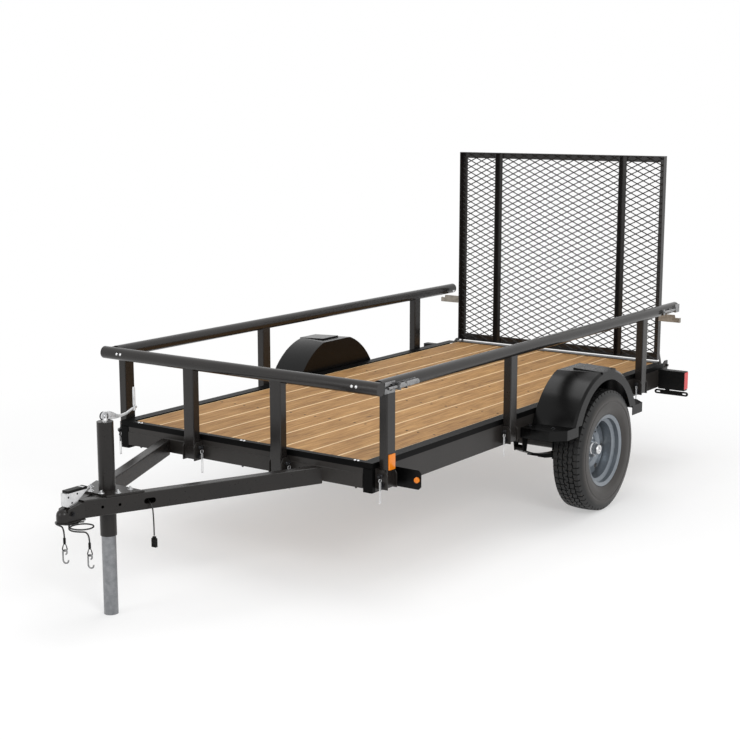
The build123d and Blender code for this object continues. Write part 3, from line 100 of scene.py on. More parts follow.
# ------------------------------------------------------------- camera
LENS, SENSOR = 69.66, 36.0    # millimetres
SIGHT_END = 60.0              # metres
CAMERA_PLACE = (FRONT + 4.9254, 4.2559, 2.1105)
CAMERA_HEADING = (-0.8015, -0.5702, -0.18015)


def set_up_camera():
    """Camera with a long lens, 2.1 m up, ahead of the coupler and to its left."""
    data = bpy.data.cameras.new("camera")
    data.lens, data.sensor_width, data.clip_end = LENS, SENSOR, SIGHT_END
    camera = bpy.data.objects.new("camera", data)
    bpy.context.scene.collection.objects.link(camera)
    camera.location = CAMERA_PLACE
    camera.rotation_euler = Vector(CAMERA_HEADING).to_track_quat("-Z", "Y").to_euler()
    bpy.context.scene.camera = camera


set_up_camera()


# ------------------------------------------------------------- finishes
def linear(hex_colour):
    """sRGB hex to a linear RGBA colour."""
    shares = [int(hex_colour[i:i + 2], 16) / 255 for i in (1, 3, 5)]
    return tuple(c / 12.92 if c <= 0.04045 else ((c + 0.055) / 1.055) ** 2.4
                 for c in shares) + (1.0,)


def every(mm):
    """Texture scale that repeats once in so many millimetres."""
    return 1000.0 / mm


def add(tree, kind, settings=None, **inputs):
    """Add a node with its settings, of which "stops" are a colour ramp's places and colours. An
    input is a value, a node or a node's output, and goes in by name or by number (i0)."""
    node = tree.nodes.new("ShaderNode" + kind)
    for name, value in (settings or {}).items():
        if name == "stops":
            stops = node.color_ramp.elements
            while len(stops) < len(value):
                stops.new(0.5)
            for stop, (at, colour) in zip(stops, value):
                stop.position, stop.color = at, linear(colour)
        else:
            setattr(node, name, value)
    for name, value in inputs.items():
        socket = node.inputs[int(name[1:]) if name[1:].isdigit() else name.replace("_", " ")]
        if isinstance(value, bpy.types.Node):
            value = next(output for output in value.outputs if output.enabled)
        if isinstance(value, bpy.types.NodeSocket):
            tree.links.new(value, socket)
        else:
            socket.default_value = value
    return node


def new_finish(name):
    """Empty material, and the Object coordinates that its patterns follow."""
    material = bpy.data.materials.new(name)
    material.use_nodes = True
    tree = material.node_tree
    tree.nodes.remove(tree.nodes["Principled BSDF"])
    return material, tree, add(tree, "TexCoord").outputs["Object"]


def surface(tree, shader):
    """Send a shader to the material's surface."""
    tree.links.new(shader.outputs[0], tree.nodes["Material Output"].inputs["Surface"])


def powder_coat(name, colour, deep, rough, gloss, peel=2.2, flake=0.0):
    """Powder-coated steel, sprayed dry and baked: one even colour, cloudy by a shade where it was
    handled, with a faint orange peel that breaks up what it mirrors. Metal flake in it deepens its
    shadows."""
    material, tree, place = new_finish(name)
    cloud = add(tree, "TexNoise", Vector=place, Scale=every(180), Detail=3.0)
    fleck = add(tree, "TexNoise", Vector=place, Scale=every(14), Detail=4.0)
    both = add(tree, "Math", {"operation": "MULTIPLY_ADD"}, i0=fleck, i1=0.35,
               i2=add(tree, "Math", {"operation": "MULTIPLY"}, i0=cloud, i1=0.65))
    tone = add(tree, "ValToRGB", {"stops": [(0.3, deep), (0.7, colour)]}, Fac=both)
    sheen = add(tree, "MapRange", Value=fleck, To_Min=rough - 0.05, To_Max=rough + 0.08)
    skin = add(tree, "Bump", Distance=peel * 0.00002,
               Height=add(tree, "TexNoise", Vector=place, Scale=every(peel), Detail=2.0))
    surface(tree, add(tree, "BsdfPrincipled", Base_Color=tone, Roughness=sheen, Normal=skin,
                      Specular_IOR_Level=gloss, Metallic=flake))
    return material


def zinc_plate(name, colour, deep, rough):
    """Zinc-plated steel, from an electrolytic bath: small crystals 2 mm across, each with its own
    brightness, and soft smears where it was wiped, so its shine is lively but never mirror-like."""
    material, tree, place = new_finish(name)
    crystals = add(tree, "TexVoronoi", Vector=place, Scale=every(2.2)).outputs["Color"]
    one = add(tree, "SeparateColor", Color=crystals).outputs[0]
    smear = add(tree, "TexNoise", Vector=place, Scale=every(25), Detail=4.0)
    both = add(tree, "Math", {"operation": "MULTIPLY_ADD"}, i0=one, i1=0.12,
               i2=add(tree, "Math", {"operation": "MULTIPLY"}, i0=smear, i1=0.88))
    tone = add(tree, "ValToRGB", {"stops": [(0.25, deep), (0.75, colour)]}, Fac=both)
    sheen = add(tree, "MapRange", Value=both, To_Min=rough - 0.06, To_Max=rough + 0.10)
    skin = add(tree, "Bump", Distance=0.00002,
               Height=add(tree, "TexNoise", Vector=place, Scale=every(1.5), Detail=3.0))
    surface(tree, add(tree, "BsdfPrincipled", Base_Color=tone, Roughness=sheen, Normal=skin,
                      Metallic=0.95))
    return material


def softwood_planks():
    """Pressure-treated pine, sawn and planed: each plank has its own tone, with grain streaks about
    9 mm apart, 2 mm fibres and a few brown knots; a pale strip along each plank's edges is a
    painted highlight on their rounded arrises."""
    material, tree, place = new_finish("treated_pine_planks")
    across = add(tree, "Math", {"operation": "MULTIPLY_ADD"}, i1=1 / BOARD_PITCH, i2=0.5,
                 i0=add(tree, "SeparateXYZ", Vector=place).outputs["Y"])
    plank = add(tree, "TexWhiteNoise", {"noise_dimensions": "1D"},
                W=add(tree, "Math", {"operation": "FLOOR"}, i0=across))
    shift = add(tree, "VectorMath", {"operation": "MULTIPLY_ADD"}, i0=plank.outputs["Color"],
                i1=(7.0, 3.0, 5.0), i2=place)
    drift = add(tree, "TexNoise", Scale=1.0,
                Vector=add(tree, "Mapping", Vector=shift, Scale=(1.0, 3.3, 3.3)))
    bent = add(tree, "VectorMath", {"operation": "MULTIPLY_ADD"}, i0=drift.outputs["Color"],
               i1=(0.0, 0.06, 0.06), i2=shift)
    streak = add(tree, "TexNoise", Scale=every(9), Detail=3.0, Roughness=0.6,
                 Vector=add(tree, "Mapping", Vector=bent, Scale=(0.05, 1, 1)))
    fibre = add(tree, "TexNoise", Scale=every(2.4), Detail=5.0, Roughness=0.75,
                Vector=add(tree, "Mapping", Vector=shift, Scale=(0.03, 1, 1)))
    patch = add(tree, "TexNoise", Scale=every(60), Detail=5.0, Roughness=0.65,
                Vector=add(tree, "Mapping", Vector=shift, Scale=(0.25, 1, 1)))
    grain = add(tree, "Math", {"operation": "MULTIPLY_ADD"}, i0=streak, i1=0.4,
                i2=add(tree, "Math", {"operation": "MULTIPLY"}, i0=patch, i1=0.25))
    grain = add(tree, "Math", {"operation": "MULTIPLY_ADD"}, i0=fibre, i1=0.35, i2=grain)
    wood = add(tree, "ValToRGB", {"stops": [(0.34, "#6B4C2C"), (0.47, "#9A7244"),
                                            (0.56, "#B48A56"), (0.70, "#C9A26C")]}, Fac=grain)
    tint = add(tree, "MapRange", Value=plank, To_Min=0.90, To_Max=1.06)
    wood = add(tree, "Mix", {"data_type": "RGBA", "blend_type": "MULTIPLY"}, i0=1.0, i6=wood,
               i7=add(tree, "CombineColor", i0=tint, i1=tint, i2=tint))
    knots = add(tree, "TexVoronoi", Scale=1.0,
                Vector=add(tree, "Mapping", Vector=shift, Scale=(2.6, 8.0, 8.0)))
    knot = add(tree, "MapRange", Value=knots, From_Min=0.03, From_Max=0.10, To_Min=0.75, To_Max=0.0)
    wood = add(tree, "Mix", {"data_type": "RGBA"}, i0=knot, i6=wood, i7=linear("#4A3018"))
    # painted highlight: a pale strip along both edges of every plank, for light caught on the
    # rounded arrises
    off_middle = add(tree, "Math", {"operation": "SUBTRACT"}, i1=0.5,
                     i0=add(tree, "Math", {"operation": "FRACT"}, i0=across))
    off_middle = add(tree, "Math", {"operation": "ABSOLUTE"}, i0=off_middle)
    painted_arris_highlight = add(tree, "MapRange", Value=off_middle, From_Min=0.458, From_Max=0.474, To_Min=0.0,
                To_Max=1.0)
    wood = add(tree, "Mix", {"data_type": "RGBA"}, i0=painted_arris_highlight, i6=wood, i7=linear("#F0D5AC"))
    dull = add(tree, "MapRange", Value=grain, To_Min=0.80, To_Max=0.55)
    surface(tree, add(tree, "BsdfPrincipled", Base_Color=wood, Roughness=dull,
                      Specular_IOR_Level=0.3,
                      Normal=add(tree, "Bump", Height=grain, Distance=0.00035, Strength=0.7)))
    return material


def moulded_rubber(name, colour, dust_and_sheen, rough, sidewall_from=None):
    """Carbon-black rubber, moulded: nearly black and dull, with 1.2 mm mould texture. Where it's a
    tyre, the sidewall, which starts at a radius from the axle, is painted browner: partly rubber's
    brownish bloom, partly a painted sheen."""
    material, tree, place = new_finish(name)
    cloud = add(tree, "TexNoise", Vector=place, Scale=every(60), Detail=5.0)
    if sidewall_from:
        flat = add(tree, "VectorMath", {"operation": "MULTIPLY_ADD"}, i0=place, i1=(1, 0, 1),
                   i2=-AXLE)
        radius = add(tree, "VectorMath", {"operation": "LENGTH"}, i0=flat)
        # painted sheen, partly real bloom: from this radius inwards the colour moves towards the
        # brownish one
        bloom_and_painted_sheen = add(tree, "MapRange", Value=radius, From_Min=sidewall_from + 0.008,
                    From_Max=sidewall_from - 0.012, To_Min=0.0, To_Max=0.6)
        cloud = add(tree, "Math", {"operation": "MULTIPLY_ADD"}, i0=cloud, i1=0.5, i2=bloom_and_painted_sheen)
    tone = add(tree, "ValToRGB", {"stops": [(0.3, colour), (0.85, dust_and_sheen)]}, Fac=cloud)
    sheen = add(tree, "MapRange", Value=cloud, To_Min=rough + 0.06, To_Max=rough - 0.1)
    skin = add(tree, "Bump", Distance=0.00006,
               Height=add(tree, "TexNoise", Vector=place, Scale=every(1.2), Detail=3.0))
    surface(tree, add(tree, "BsdfPrincipled", Base_Color=tone, Roughness=sheen, Normal=skin))
    return material


def acrylic_lens(name, colour, deep):
    """Tinted acrylic, moulded with rows of 6 mm prisms inside a smooth face, under one clear gloss:
    each square is painted lighter in its middle and darker towards its rim, a painted flash."""
    material, tree, place = new_finish(name)
    prisms = add(tree, "TexVoronoi", {"distance": "CHEBYCHEV"}, Vector=place, Scale=every(6),
                 Randomness=0.0)
    # painted flash: each prism's square goes from the bright colour in its middle to the deep one
    # at its rim
    tone = add(tree, "ValToRGB", {"stops": [(0.1, colour), (0.9, deep)]}, Fac=prisms)
    wiped = add(tree, "MapRange", To_Min=0.12, To_Max=0.22,
                Value=add(tree, "TexNoise", Vector=place, Scale=every(20)))
    surface(tree, add(tree, "BsdfPrincipled", Base_Color=tone, Roughness=wiped, IOR=1.49,
                      Coat_Weight=0.3, Coat_Roughness=0.06, Specular_IOR_Level=0.3,
                      Normal=add(tree, "Bump", Height=prisms, Distance=0.0006, Strength=0.6)))
    return material


SIDEWALL_FROM = TYRE_RADIUS - 0.036
FINISHES = {
    # frame and axle: warm dark grey, satin
    "frame_coat": powder_coat("graphite_powder_coat", "#2B2826", "#22201E", 0.32, 0.30),
    # rails and ramp frame: the same grey a shade darker, shiny enough for a long soft streak
    "rail_coat": powder_coat("satin_graphite_powder_coat", "#211E1C", "#191716", 0.20, 0.42),
    # tongue, coupler and jack: as dark, with a softer streak
    "tongue_coat": powder_coat("dark_tongue_powder_coat", "#211E1C", "#191716", 0.28, 0.32),
    # springs and small brackets: black, with little shine
    "black_coat": powder_coat("black_powder_coat", "#090909", "#050505", 0.30, 0.15),
    # deck's edging and corner caps: flat black
    "edging_coat": powder_coat("flat_black_edging", "#080808", "#040404", 0.42, 0.06),
    # fenders: the deepest black, smooth, with a clear streak along their bend
    "fender_coat": powder_coat("gloss_black_fender_coat", "#070707", "#040404", 0.22, 0.20, 0.7),
    # ramp's mesh: thick dipped paint, greyer and duller than the angles round it
    "mesh_coat": powder_coat("dipped_mesh_paint", "#333231", "#242322", 0.45, 0.25),
    # plug, lamp brackets and lever's edge: black plastic, dull and finely grained
    "black_plastic": powder_coat("moulded_black_nylon", "#0D0D0D", "#080808", 0.44, 0.18, 0.9),
    # wheels: blue-grey silver with metal flake
    "wheel_coat": powder_coat("silver_wheel_enamel", "#8C9298", "#727980", 0.30, 0.50, flake=0.65),
    # crank, lever, hubs, studs and clips: the palest metal, nearly white where a lamp meets it
    "bright_zinc": zinc_plate("bright_zinc_plate", "#E4E4E4", "#BDBEC0", 0.28),
    # ramp's latch plates: dull, their warm brownish grey a painted reflection of the colours round
    # them
    "reflection_tinted_zinc": zinc_plate("reflection_tinted_zinc_plate", "#A9A298", "#7D776E", 0.42),
    # rail latches and hooks: pale zinc in broad random patches of much darker grey
    "latch_zinc": zinc_plate("patchy_latch_zinc", "#A8A8A8", "#6E6E6F", 0.26),
    # jack's leg: mid grey, a little dull
    "leg_zinc": zinc_plate("drawn_zinc_leg", "#97989A", "#76787B", 0.34),
    # bolts and lock pins: nearly black metal
    "dark_steel": zinc_plate("blackened_bolt_steel", "#3A3A3C", "#262628", 0.40),
    # deck screws: brown-black, waxed
    "screw_steel": zinc_plate("waxed_deck_screw", "#4A4239", "#2E2924", 0.5),
    # deck: warm honey-coloured planks
    "pine": softwood_planks(),
    # tyres: black tread; browner sidewalls, partly rubber's bloom and partly a painted sheen
    "tyre_rubber": moulded_rubber("tyre_rubber", "#090909", "#2A2623", 0.50, SIDEWALL_FROM),
    # cords: black with a soft sheen
    "cord_jacket": moulded_rubber("black_cord_jacket", "#0B0B0B", "#1C1B1B", 0.45),
    # tail lamps: strong red, prismed
    "red_lens": acrylic_lens("red_acrylic_lens", "#F01220", "#B80A14"),
    # side lamps and reflectors: strong orange, prismed
    "amber_lens": acrylic_lens("amber_acrylic_lens", "#F08A1C", "#C2600A"),
}
SLOT_FINISHES = {
    "grey_paint": "frame_coat", "black_paint": "black_coat", "zinc": "bright_zinc",
    "wood": "pine", "tyre_rubber": "tyre_rubber", "wheel_paint": "wheel_coat",
    "black_plastic": "black_plastic", "red_lens": "red_lens", "amber_lens": "amber_lens",
    "cord_jacket": "cord_jacket",
}
NODE_FINISHES = {
    "deck_edging": "edging_coat", "corner_caps": "edging_coat",
    "side_rail_left": "rail_coat", "side_rail_right": "rail_coat", "front_rail": "rail_coat",
    "rail_latches_left": "latch_zinc", "rail_latches_right": "latch_zinc",
    "ramp_frame": "rail_coat", "ramp_latch_plates": "reflection_tinted_zinc",
    "fender_left": "fender_coat", "fender_right": "fender_coat",
    "tongue_tube_left": "tongue_coat", "tongue_tube_right": "tongue_coat",
    "coupler": "tongue_coat", "jack_mount_plate": "tongue_coat", "jack_tube": "tongue_coat",
    "jack_leg": "leg_zinc",
    "lamp_bracket_left": "black_plastic", "lamp_bracket_right": "black_plastic",
}
for entry in frame["record"]["subparts"]:
    finish = NODE_FINISHES.get(entry["node"], SLOT_FINISHES[entry["material_slot"]])
    nodes[entry["node"]].data.materials.clear()
    nodes[entry["node"]].data.materials.append(FINISHES[finish])


# ------------------------------------------------------------- bench tools
UP = (0, 0, 1)
ON_SIDE = (math.radians(90), 0, 0)         # rotation that lays +Z along the Y axis
SHARP = 0.9                   # cosine above which a face looks a given way


def solid(kind, **settings):
    """Add a primitive, to the piece being shaped or as a new one with its place in its mesh."""
    if bpy.context.mode == "OBJECT":
        bpy.ops.object.select_all(action="DESELECT")
        getattr(bpy.ops.mesh, f"primitive_{kind}_add")(**settings)
        bpy.ops.object.transform_apply(location=True, rotation=True, scale=True)
        bpy.ops.object.mode_set(mode="EDIT")
        bpy.ops.mesh.select_all(action="SELECT")
    else:
        getattr(bpy.ops.mesh, f"primitive_{kind}_add")(**settings)


def pick(kind, test):
    """Of what is selected, keep the faces, edges or points whose middle and direction pass a
    test."""
    bpy.ops.mesh.select_mode(type=kind)
    mesh = bpy.context.edit_object.data
    shape = bmesh.from_edit_mesh(mesh)
    if kind == "FACE":
        kept = [f for f in shape.faces if f.select and test(f.calc_center_median(), f.normal)]
    elif kind == "EDGE":
        kept = [e for e in shape.edges if e.select
                and test((e.verts[0].co + e.verts[1].co) / 2,
                         (e.verts[1].co - e.verts[0].co).normalized())]
    else:
        kept = [v for v in shape.verts if v.select and test(v.co, v.normal)]
    bpy.ops.mesh.select_all(action="DESELECT")
    for part in kept:
        part.select_set(True)
    shape.select_flush_mode()
    bmesh.update_edit_mesh(mesh)


def pick_anew(kind, test):
    """Of the whole piece, select what passes a test."""
    bpy.ops.mesh.select_all(action="SELECT")
    pick(kind, test)


def top_face():
    """Of what is selected, keep the faces that look up."""
    pick("FACE", lambda at, normal: normal.z > SHARP)


def middle_of_end():
    """Middle of the points that are selected, such as the end of a bar that is being drawn."""
    shape = bmesh.from_edit_mesh(bpy.context.edit_object.data)
    points = [v.co for v in shape.verts if v.select]
    return sum(points, Vector()) / len(points)


def draw(*step):
    """Extrude what is selected by a step."""
    bpy.ops.mesh.extrude_region_move(TRANSFORM_OT_translate={"value": step})


def bend(degrees, centre, axis, steps=8):
    """Spin what is selected anticlockwise about an axis; the operator itself turns clockwise."""
    bpy.ops.mesh.spin(steps=steps, angle=-math.radians(degrees), center=centre, axis=axis)


def swell(factor, centre):
    """Scale what is selected about a point."""
    bpy.ops.transform.resize(value=(factor,) * 3, center_override=centre)


def chamfer(width, segments=2):
    """Bevel the edges that are selected."""
    bpy.ops.mesh.bevel(offset=width, segments=segments, affect="EDGES")


def spin_up(points, centre, axis, steps=20):
    """Draw a profile from point to point and spin it once round an axis."""
    solid("plane", size=0.001, location=points[0])
    bpy.ops.mesh.select_mode(type="VERT")
    bpy.ops.mesh.merge(type="CENTER")
    for before, after in zip(points, points[1:]):
        draw(*(Vector(after) - Vector(before)))
    bpy.ops.mesh.select_linked()
    bend(360, centre, axis, steps)
    bpy.ops.mesh.select_linked()
    bpy.ops.mesh.remove_doubles(threshold=0.00001)
    bpy.ops.mesh.normals_make_consistent(inside=False)


def facing(direction):
    """Rotation that turns +Z to a direction."""
    return Vector(direction).to_track_quat("Z", "Y").to_euler()


def wire_end(at, heading, radius, sides=8):
    """Start a round wire with its cut end, which the next steps draw and bend onwards."""
    solid("circle", vertices=sides, radius=radius, fill_type="NGON", location=at,
          rotation=facing(heading))


def set_out(places):
    """Copy the finished model to each point and direction, each with its own mesh, and join the
    copies."""
    bpy.ops.object.mode_set(mode="OBJECT")
    model = bpy.context.object
    bpy.ops.object.select_all(action="DESELECT")
    for point, heading in places:
        twin = model.copy()
        twin.data = model.data.copy()
        bpy.context.scene.collection.objects.link(twin)
        twin.matrix_world = Matrix.Translation(point) @ facing(heading).to_matrix().to_4x4()
        twin.select_set(True)
        bpy.context.view_layer.objects.active = twin
    bpy.data.objects.remove(model)
    bpy.ops.object.join()
    bpy.ops.object.transform_apply(location=True, rotation=True, scale=True)
    bpy.ops.object.mode_set(mode="EDIT")


def done(name, finish, body="chassis", stands_for=(), crease=35):
    """Turn the piece's faces outwards, smooth it up to its creases, and give it its name, finish,
    slot and body."""
    bpy.ops.mesh.select_all(action="SELECT")
    bpy.ops.mesh.normals_make_consistent(inside=False)
    bpy.ops.object.mode_set(mode="OBJECT")
    bpy.ops.object.shade_smooth_by_angle(angle=math.radians(crease))
    part = bpy.context.object
    part.name = part.data.name = name
    part.data.materials.clear()
    part.data.materials.append(FINISHES[finish])
    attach(part, body)
    if stands_for:
        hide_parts(*stands_for)
    return part


# ------------------------------------------------------------- cords
LEAD_RADIUS = 0.003
LEAD_ROUTE = [(FRONT + 0.7227, 0.1096, 0.496), (FRONT + 0.751, 0.1719, 0.490),
              (FRONT + 0.752, 0.180, 0.425), (FRONT + 0.752, 0.180, 0.352)]
PLUG_SIZE = (0.012, 0.024, 0.038)
PLUG_DROP = 0.031             # plug's middle below the lead's end
PLUG_NECK = 0.008             # its neck's height
RIB_PITCH, RIB_DEEP = 0.0063, 0.0008
CABLE_RADIUS = 0.00325
CABLE_RUN = 0.044             # straight run off the coil
COIL_RADIUS = 0.050
COIL_POINTS = 16              # points in each turn of a coil
COIL_TURNS = 1.5
FERRULE = ((0, 0, 0), (0.0045, 0, 0), (0.0055, 0, -0.002), (0.0055, 0, -0.024),
           (0.0045, 0, -0.026), (0, 0, -0.026))
EYE_DROP = 0.047              # eye's middle below the cable's end
EYE_RING, EYE_WIRE = 0.0095, 0.0024
EYE_STRETCH = 0.011           # how far its upper side is drawn up towards the ferrule
EYE_TIP = 0.019               # its drawn tip above its middle
HOOK_WIRE = 0.0034
HOOK_BOW = 0.0095             # small bow of the hook, which the eye holds
HOOK_HANG = 0.0135            # small bow's middle below the eye's
HOOK_LONG, HOOK_SPLAY = 0.034, 0.003
HOOK_FROM = math.radians(-70)              # where its wire starts, round the small bow
EYE_FACE = Vector((0.8015, 0.5702, 0))     # way that the eyes look: forward and left
HOOK_TURN = (0.94, 0.34)      # hook's plane: share across that way, and along it


def cord_along(name, route, radius):
    """Cord as one smooth spline with a round section."""
    data = bpy.data.curves.new(name, "CURVE")
    data.dimensions, data.bevel_depth, data.bevel_resolution = "3D", radius, 4
    data.resolution_u, data.use_fill_caps = 10, True
    spline = data.splines.new("NURBS")
    spline.points.add(len(route) - 1)
    for control, point in zip(spline.points, route):
        control.co = (*point, 1.0)
    spline.order_u, spline.use_endpoint_u = 3, True
    cord = bpy.data.objects.new(name, data)
    bpy.context.scene.collection.objects.link(cord)
    data.materials.append(FINISHES["cord_jacket"])
    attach(cord, "chassis")
    return cord


def wiring_lead():
    """Lead out of the tongue's slot, down to a flat four-way plug with grip ribs."""
    lead = cord_along("lead", LEAD_ROUTE, LEAD_RADIUS)
    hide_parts("wiring_lead")
    x, y, top = LEAD_ROUTE[-1]
    solid("cube", size=1, location=(x, y, top - PLUG_DROP), scale=PLUG_SIZE)
    top_face()
    bpy.ops.mesh.inset(thickness=0.0025)
    draw(0, 0, PLUG_NECK)
    bpy.ops.transform.resize(value=(1.4, 0.6, 1), center_override=(x, y, top))
    pick_anew("FACE", lambda at, normal: abs(normal.x) > SHARP and at.z < top - 0.02)
    bpy.ops.mesh.subdivide(number_cuts=5)
    pick("FACE", lambda at, normal: abs(normal.x) > SHARP
         and round((top - at.z) / RIB_PITCH) % 2 == 0)
    bpy.ops.mesh.extrude_faces_move(TRANSFORM_OT_shrink_fatten={"value": -RIB_DEEP})
    plug = done("lead_plug", "black_plastic", stands_for=["wiring_plug"])


def cable_end(name, end, replaced):
    """Swaged ferrule and eye, and the open S-hook that hangs in it."""
    end, up = Vector(end), Vector(UP)
    across = Vector((-EYE_FACE.y, EYE_FACE.x, 0))
    spin_up([end + Vector(step) for step in FERRULE], end, up, steps=18)
    eye = end - up * EYE_DROP
    solid("torus", major_radius=EYE_RING, minor_radius=EYE_WIRE, major_segments=24,
          minor_segments=8, location=eye, rotation=facing(across.cross(up)))
    pick("VERT", lambda at, normal: at.z > eye.z + 0.005)
    bpy.ops.transform.translate(value=(0, 0, EYE_STRETCH))
    swell(0.7, eye + up * EYE_TIP)
    ferrule = done(f"{name}_eye", "black_coat", stands_for=[replaced])

    tilt = (across * HOOK_TURN[0] + EYE_FACE * HOOK_TURN[1]).normalized()
    turn = tilt.cross(up)
    small = eye - up * HOOK_HANG
    large = small - up * HOOK_LONG + tilt * HOOK_SPLAY
    wire_end(small + (tilt * math.cos(HOOK_FROM) + up * math.sin(HOOK_FROM)) * HOOK_BOW,
             up * math.cos(HOOK_FROM) - tilt * math.sin(HOOK_FROM), HOOK_WIRE, sides=10)
    bend(250, small, turn, steps=14)
    draw(*(large - small - tilt * HOOK_SPLAY))
    bend(190, large, turn, steps=12)
    hook = done(f"{name}_hook", "latch_zinc")
    return [ferrule, hook]


def safety_cable(name, centre, bottom, height, leave, inset):
    """Coiled cable under the coupler, whose free end comes off the coil and hangs down to its
    hook."""
    count = round(COIL_POINTS * COIL_TURNS)
    spread = math.cos(math.pi / COIL_POINTS) ** 0.5
    middle = Vector((FRONT + centre[0], centre[1], 0))
    route = []
    for step in range(count):
        share = step / count
        turn = math.radians(leave) - 2 * math.pi * COIL_TURNS * (1 - share)
        reach = (COIL_RADIUS - inset * (1 - share)) / spread
        route.append((middle.x + reach * math.cos(turn), middle.y + reach * math.sin(turn),
                      bottom + height - CABLE_RADIUS - height * share))
    turn = math.radians(leave)
    off = middle + Vector((math.cos(turn), math.sin(turn), 0)) * COIL_RADIUS
    off.z = bottom - CABLE_RADIUS
    fall = off + Vector((-math.sin(turn), math.cos(turn), 0)) * CABLE_RUN
    route += [tuple(off), tuple(fall), (fall.x, fall.y, fall.z - CABLE_RUN)]
    cable = cord_along(f"{name}_cable", route, CABLE_RADIUS)
    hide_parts(f"safety_coil_{name}", f"safety_cable_{name}")
    ends = cable_end(name, route[-1], f"cable_hook_{name}")


wiring_lead()
safety_cable("left", centre=(1.031, 0.044), bottom=0.430, height=0.0135, leave=33.0, inset=0.0)
safety_cable("right", centre=(1.040, -0.024), bottom=0.445, height=0.0065, leave=-8.0, inset=0.010)


# ------------------------------------------------------------- tyres
TREAD_HALF = 0.069            # half the tread's width
TREAD_FALL = 0.0045           # tread's edge below its middle
PITCHES = 56                  # tread blocks round the tyre
BLOCK_FACES = 6               # faces in each block's length
CUT = 1 / BLOCK_FACES         # share of a block's length that a cut takes
RIBS = (-0.82, -0.4, 0.0, 0.4, 0.82)       # middles of the ribs, in shares of the half width
GROOVES = (-0.60, -0.20, 0.20, 0.60)       # middles of the grooves between them
GROOVE_HALF = 0.045
GROOVE_DEEP, SHOULDER_DEEP, SIPE_DEEP = 0.0075, 0.005, 0.004
ZIGZAG = 0.0040               # how far the middle ribs jump sideways, each half block
ZIGZAG_HALF, SHOULDER_FROM, SIPE_HALF = (share * TREAD_HALF for share in (0.66, 0.68, 0.58))
# depth below the crown and place across, from the far bead out to the tread
SIDEWALL = [(0.1185, -0.052), (0.1325, -0.062), (0.131, -0.072), (0.124, -0.075),
            (0.108, -0.082), (0.092, -0.0856), (0.069, -0.086), (0.066, -0.0844),
            (0.058, -0.0844), (0.055, -0.086), (0.046, -0.086), (0.042, -0.0845),
            (0.030, -0.082), (0.0175, -0.0745), (TREAD_FALL, -TREAD_HALF)]
VALVE = ((0, -0.004), (0.0055, -0.004), (0.0055, 0.010), (0.004, 0.014), (0.004, 0.024),
         (0.0048, 0.025), (0.0048, 0.033), (0.0035, 0.034), (0, 0.034))
VALVE_REACH, VALVE_TURN, VALVE_IN = 0.150, 0.9, 0.048      # from the axle, radians, from the rim


def around(point):
    """Place of a point along its tread block, from 0 to 1."""
    return (math.atan2(point.z - AXLE.z, point.x - AXLE.x) / (2 * math.pi) * PITCHES) % 1.0


def outside(point, depth):
    """Whether a point lies less than a depth below the tread's crown."""
    return (point - AXLE - Vector((0, point.y, 0))).length > TYRE_RADIUS - depth


def across_tread(point):
    """How far a point is from the tyre's middle plane."""
    return abs(point.y - TYRE_Y)


def in_groove(point):
    """Whether a point lies in one of the tread's grooves, once these zigzag."""
    middle = (point.y - TYRE_Y - ZIGZAG * (around(point) < 0.5)) / TREAD_HALF
    return any(abs(middle - groove) < GROOVE_HALF for groove in GROOVES)


def sink(depth, test):
    """Press the tread's faces that pass a test inwards."""
    pick_anew("FACE", test)
    bpy.ops.mesh.extrude_region_shrink_fatten(TRANSFORM_OT_shrink_fatten={"value": -depth})


def tyre():
    """Trailer tyre: zigzag grooves, blocks cut across the shoulders, and rings on the sidewall."""
    shares = sorted([at + way * GROOVE_HALF for at in GROOVES for way in (-1, 1)] + list(RIBS))
    tread = [(TREAD_FALL * share ** 2, share * TREAD_HALF) for share in shares]
    section = SIDEWALL + tread + [(drop, -y) for drop, y in reversed(SIDEWALL)]
    points = [Vector((AXLE.x, TYRE_Y + y, AXLE.z + TYRE_RADIUS - drop)) for drop, y in section]
    spin_up(points + points[:1], AXLE, (0, 1, 0), steps=PITCHES * BLOCK_FACES)

    pick("VERT", lambda at, normal: across_tread(at) < ZIGZAG_HALF and around(at) < 0.5
         and outside(at, depth=0.005))
    bpy.ops.transform.translate(value=(0, ZIGZAG, 0))
    sink(GROOVE_DEEP, lambda at, normal: outside(at, depth=0.006) and in_groove(at))
    sink(SHOULDER_DEEP, lambda at, normal: outside(at, depth=0.014)
         and across_tread(at) > SHOULDER_FROM and around(at) < CUT)
    sink(SIPE_DEEP, lambda at, normal: outside(at, depth=0.0035) and across_tread(at) < SIPE_HALF
         and (around(at) + 0.5 * (at.y > TYRE_Y)) % 1.0 < CUT)
    left = done("tread_left", "tyre_rubber", "wheel_left", ["tyre_left"],
                crease=28)

    right = left.copy()
    right.data = left.data.copy()
    bpy.context.scene.collection.objects.link(right)
    right.name = right.data.name = "tread_right"
    bpy.ops.object.select_all(action="DESELECT")
    right.select_set(True)
    bpy.context.view_layer.objects.active = right
    bpy.ops.object.mode_set(mode="EDIT")
    bpy.ops.mesh.select_all(action="SELECT")
    bpy.ops.transform.translate(value=(0, -2 * TYRE_Y, 0))
    done("tread_right", "tyre_rubber", "wheel_right", ["tyre_right"],
         crease=28)


def valve_stem(side, name):
    """Rubber valve stem with its cap, in the wheel's dish."""
    foot = AXLE + Vector((VALVE_REACH * math.cos(VALVE_TURN), side * (RIM_FACE_Y - VALVE_IN),
                          VALVE_REACH * math.sin(VALVE_TURN)))
    spin_up([foot + Vector((reach, side * out, 0)) for reach, out in VALVE], foot, (0, side, 0),
            steps=14)
    done(f"valve_{name}", "black_plastic", f"wheel_{name}")


tyre()
valve_stem(1, "left")
valve_stem(-1, "right")


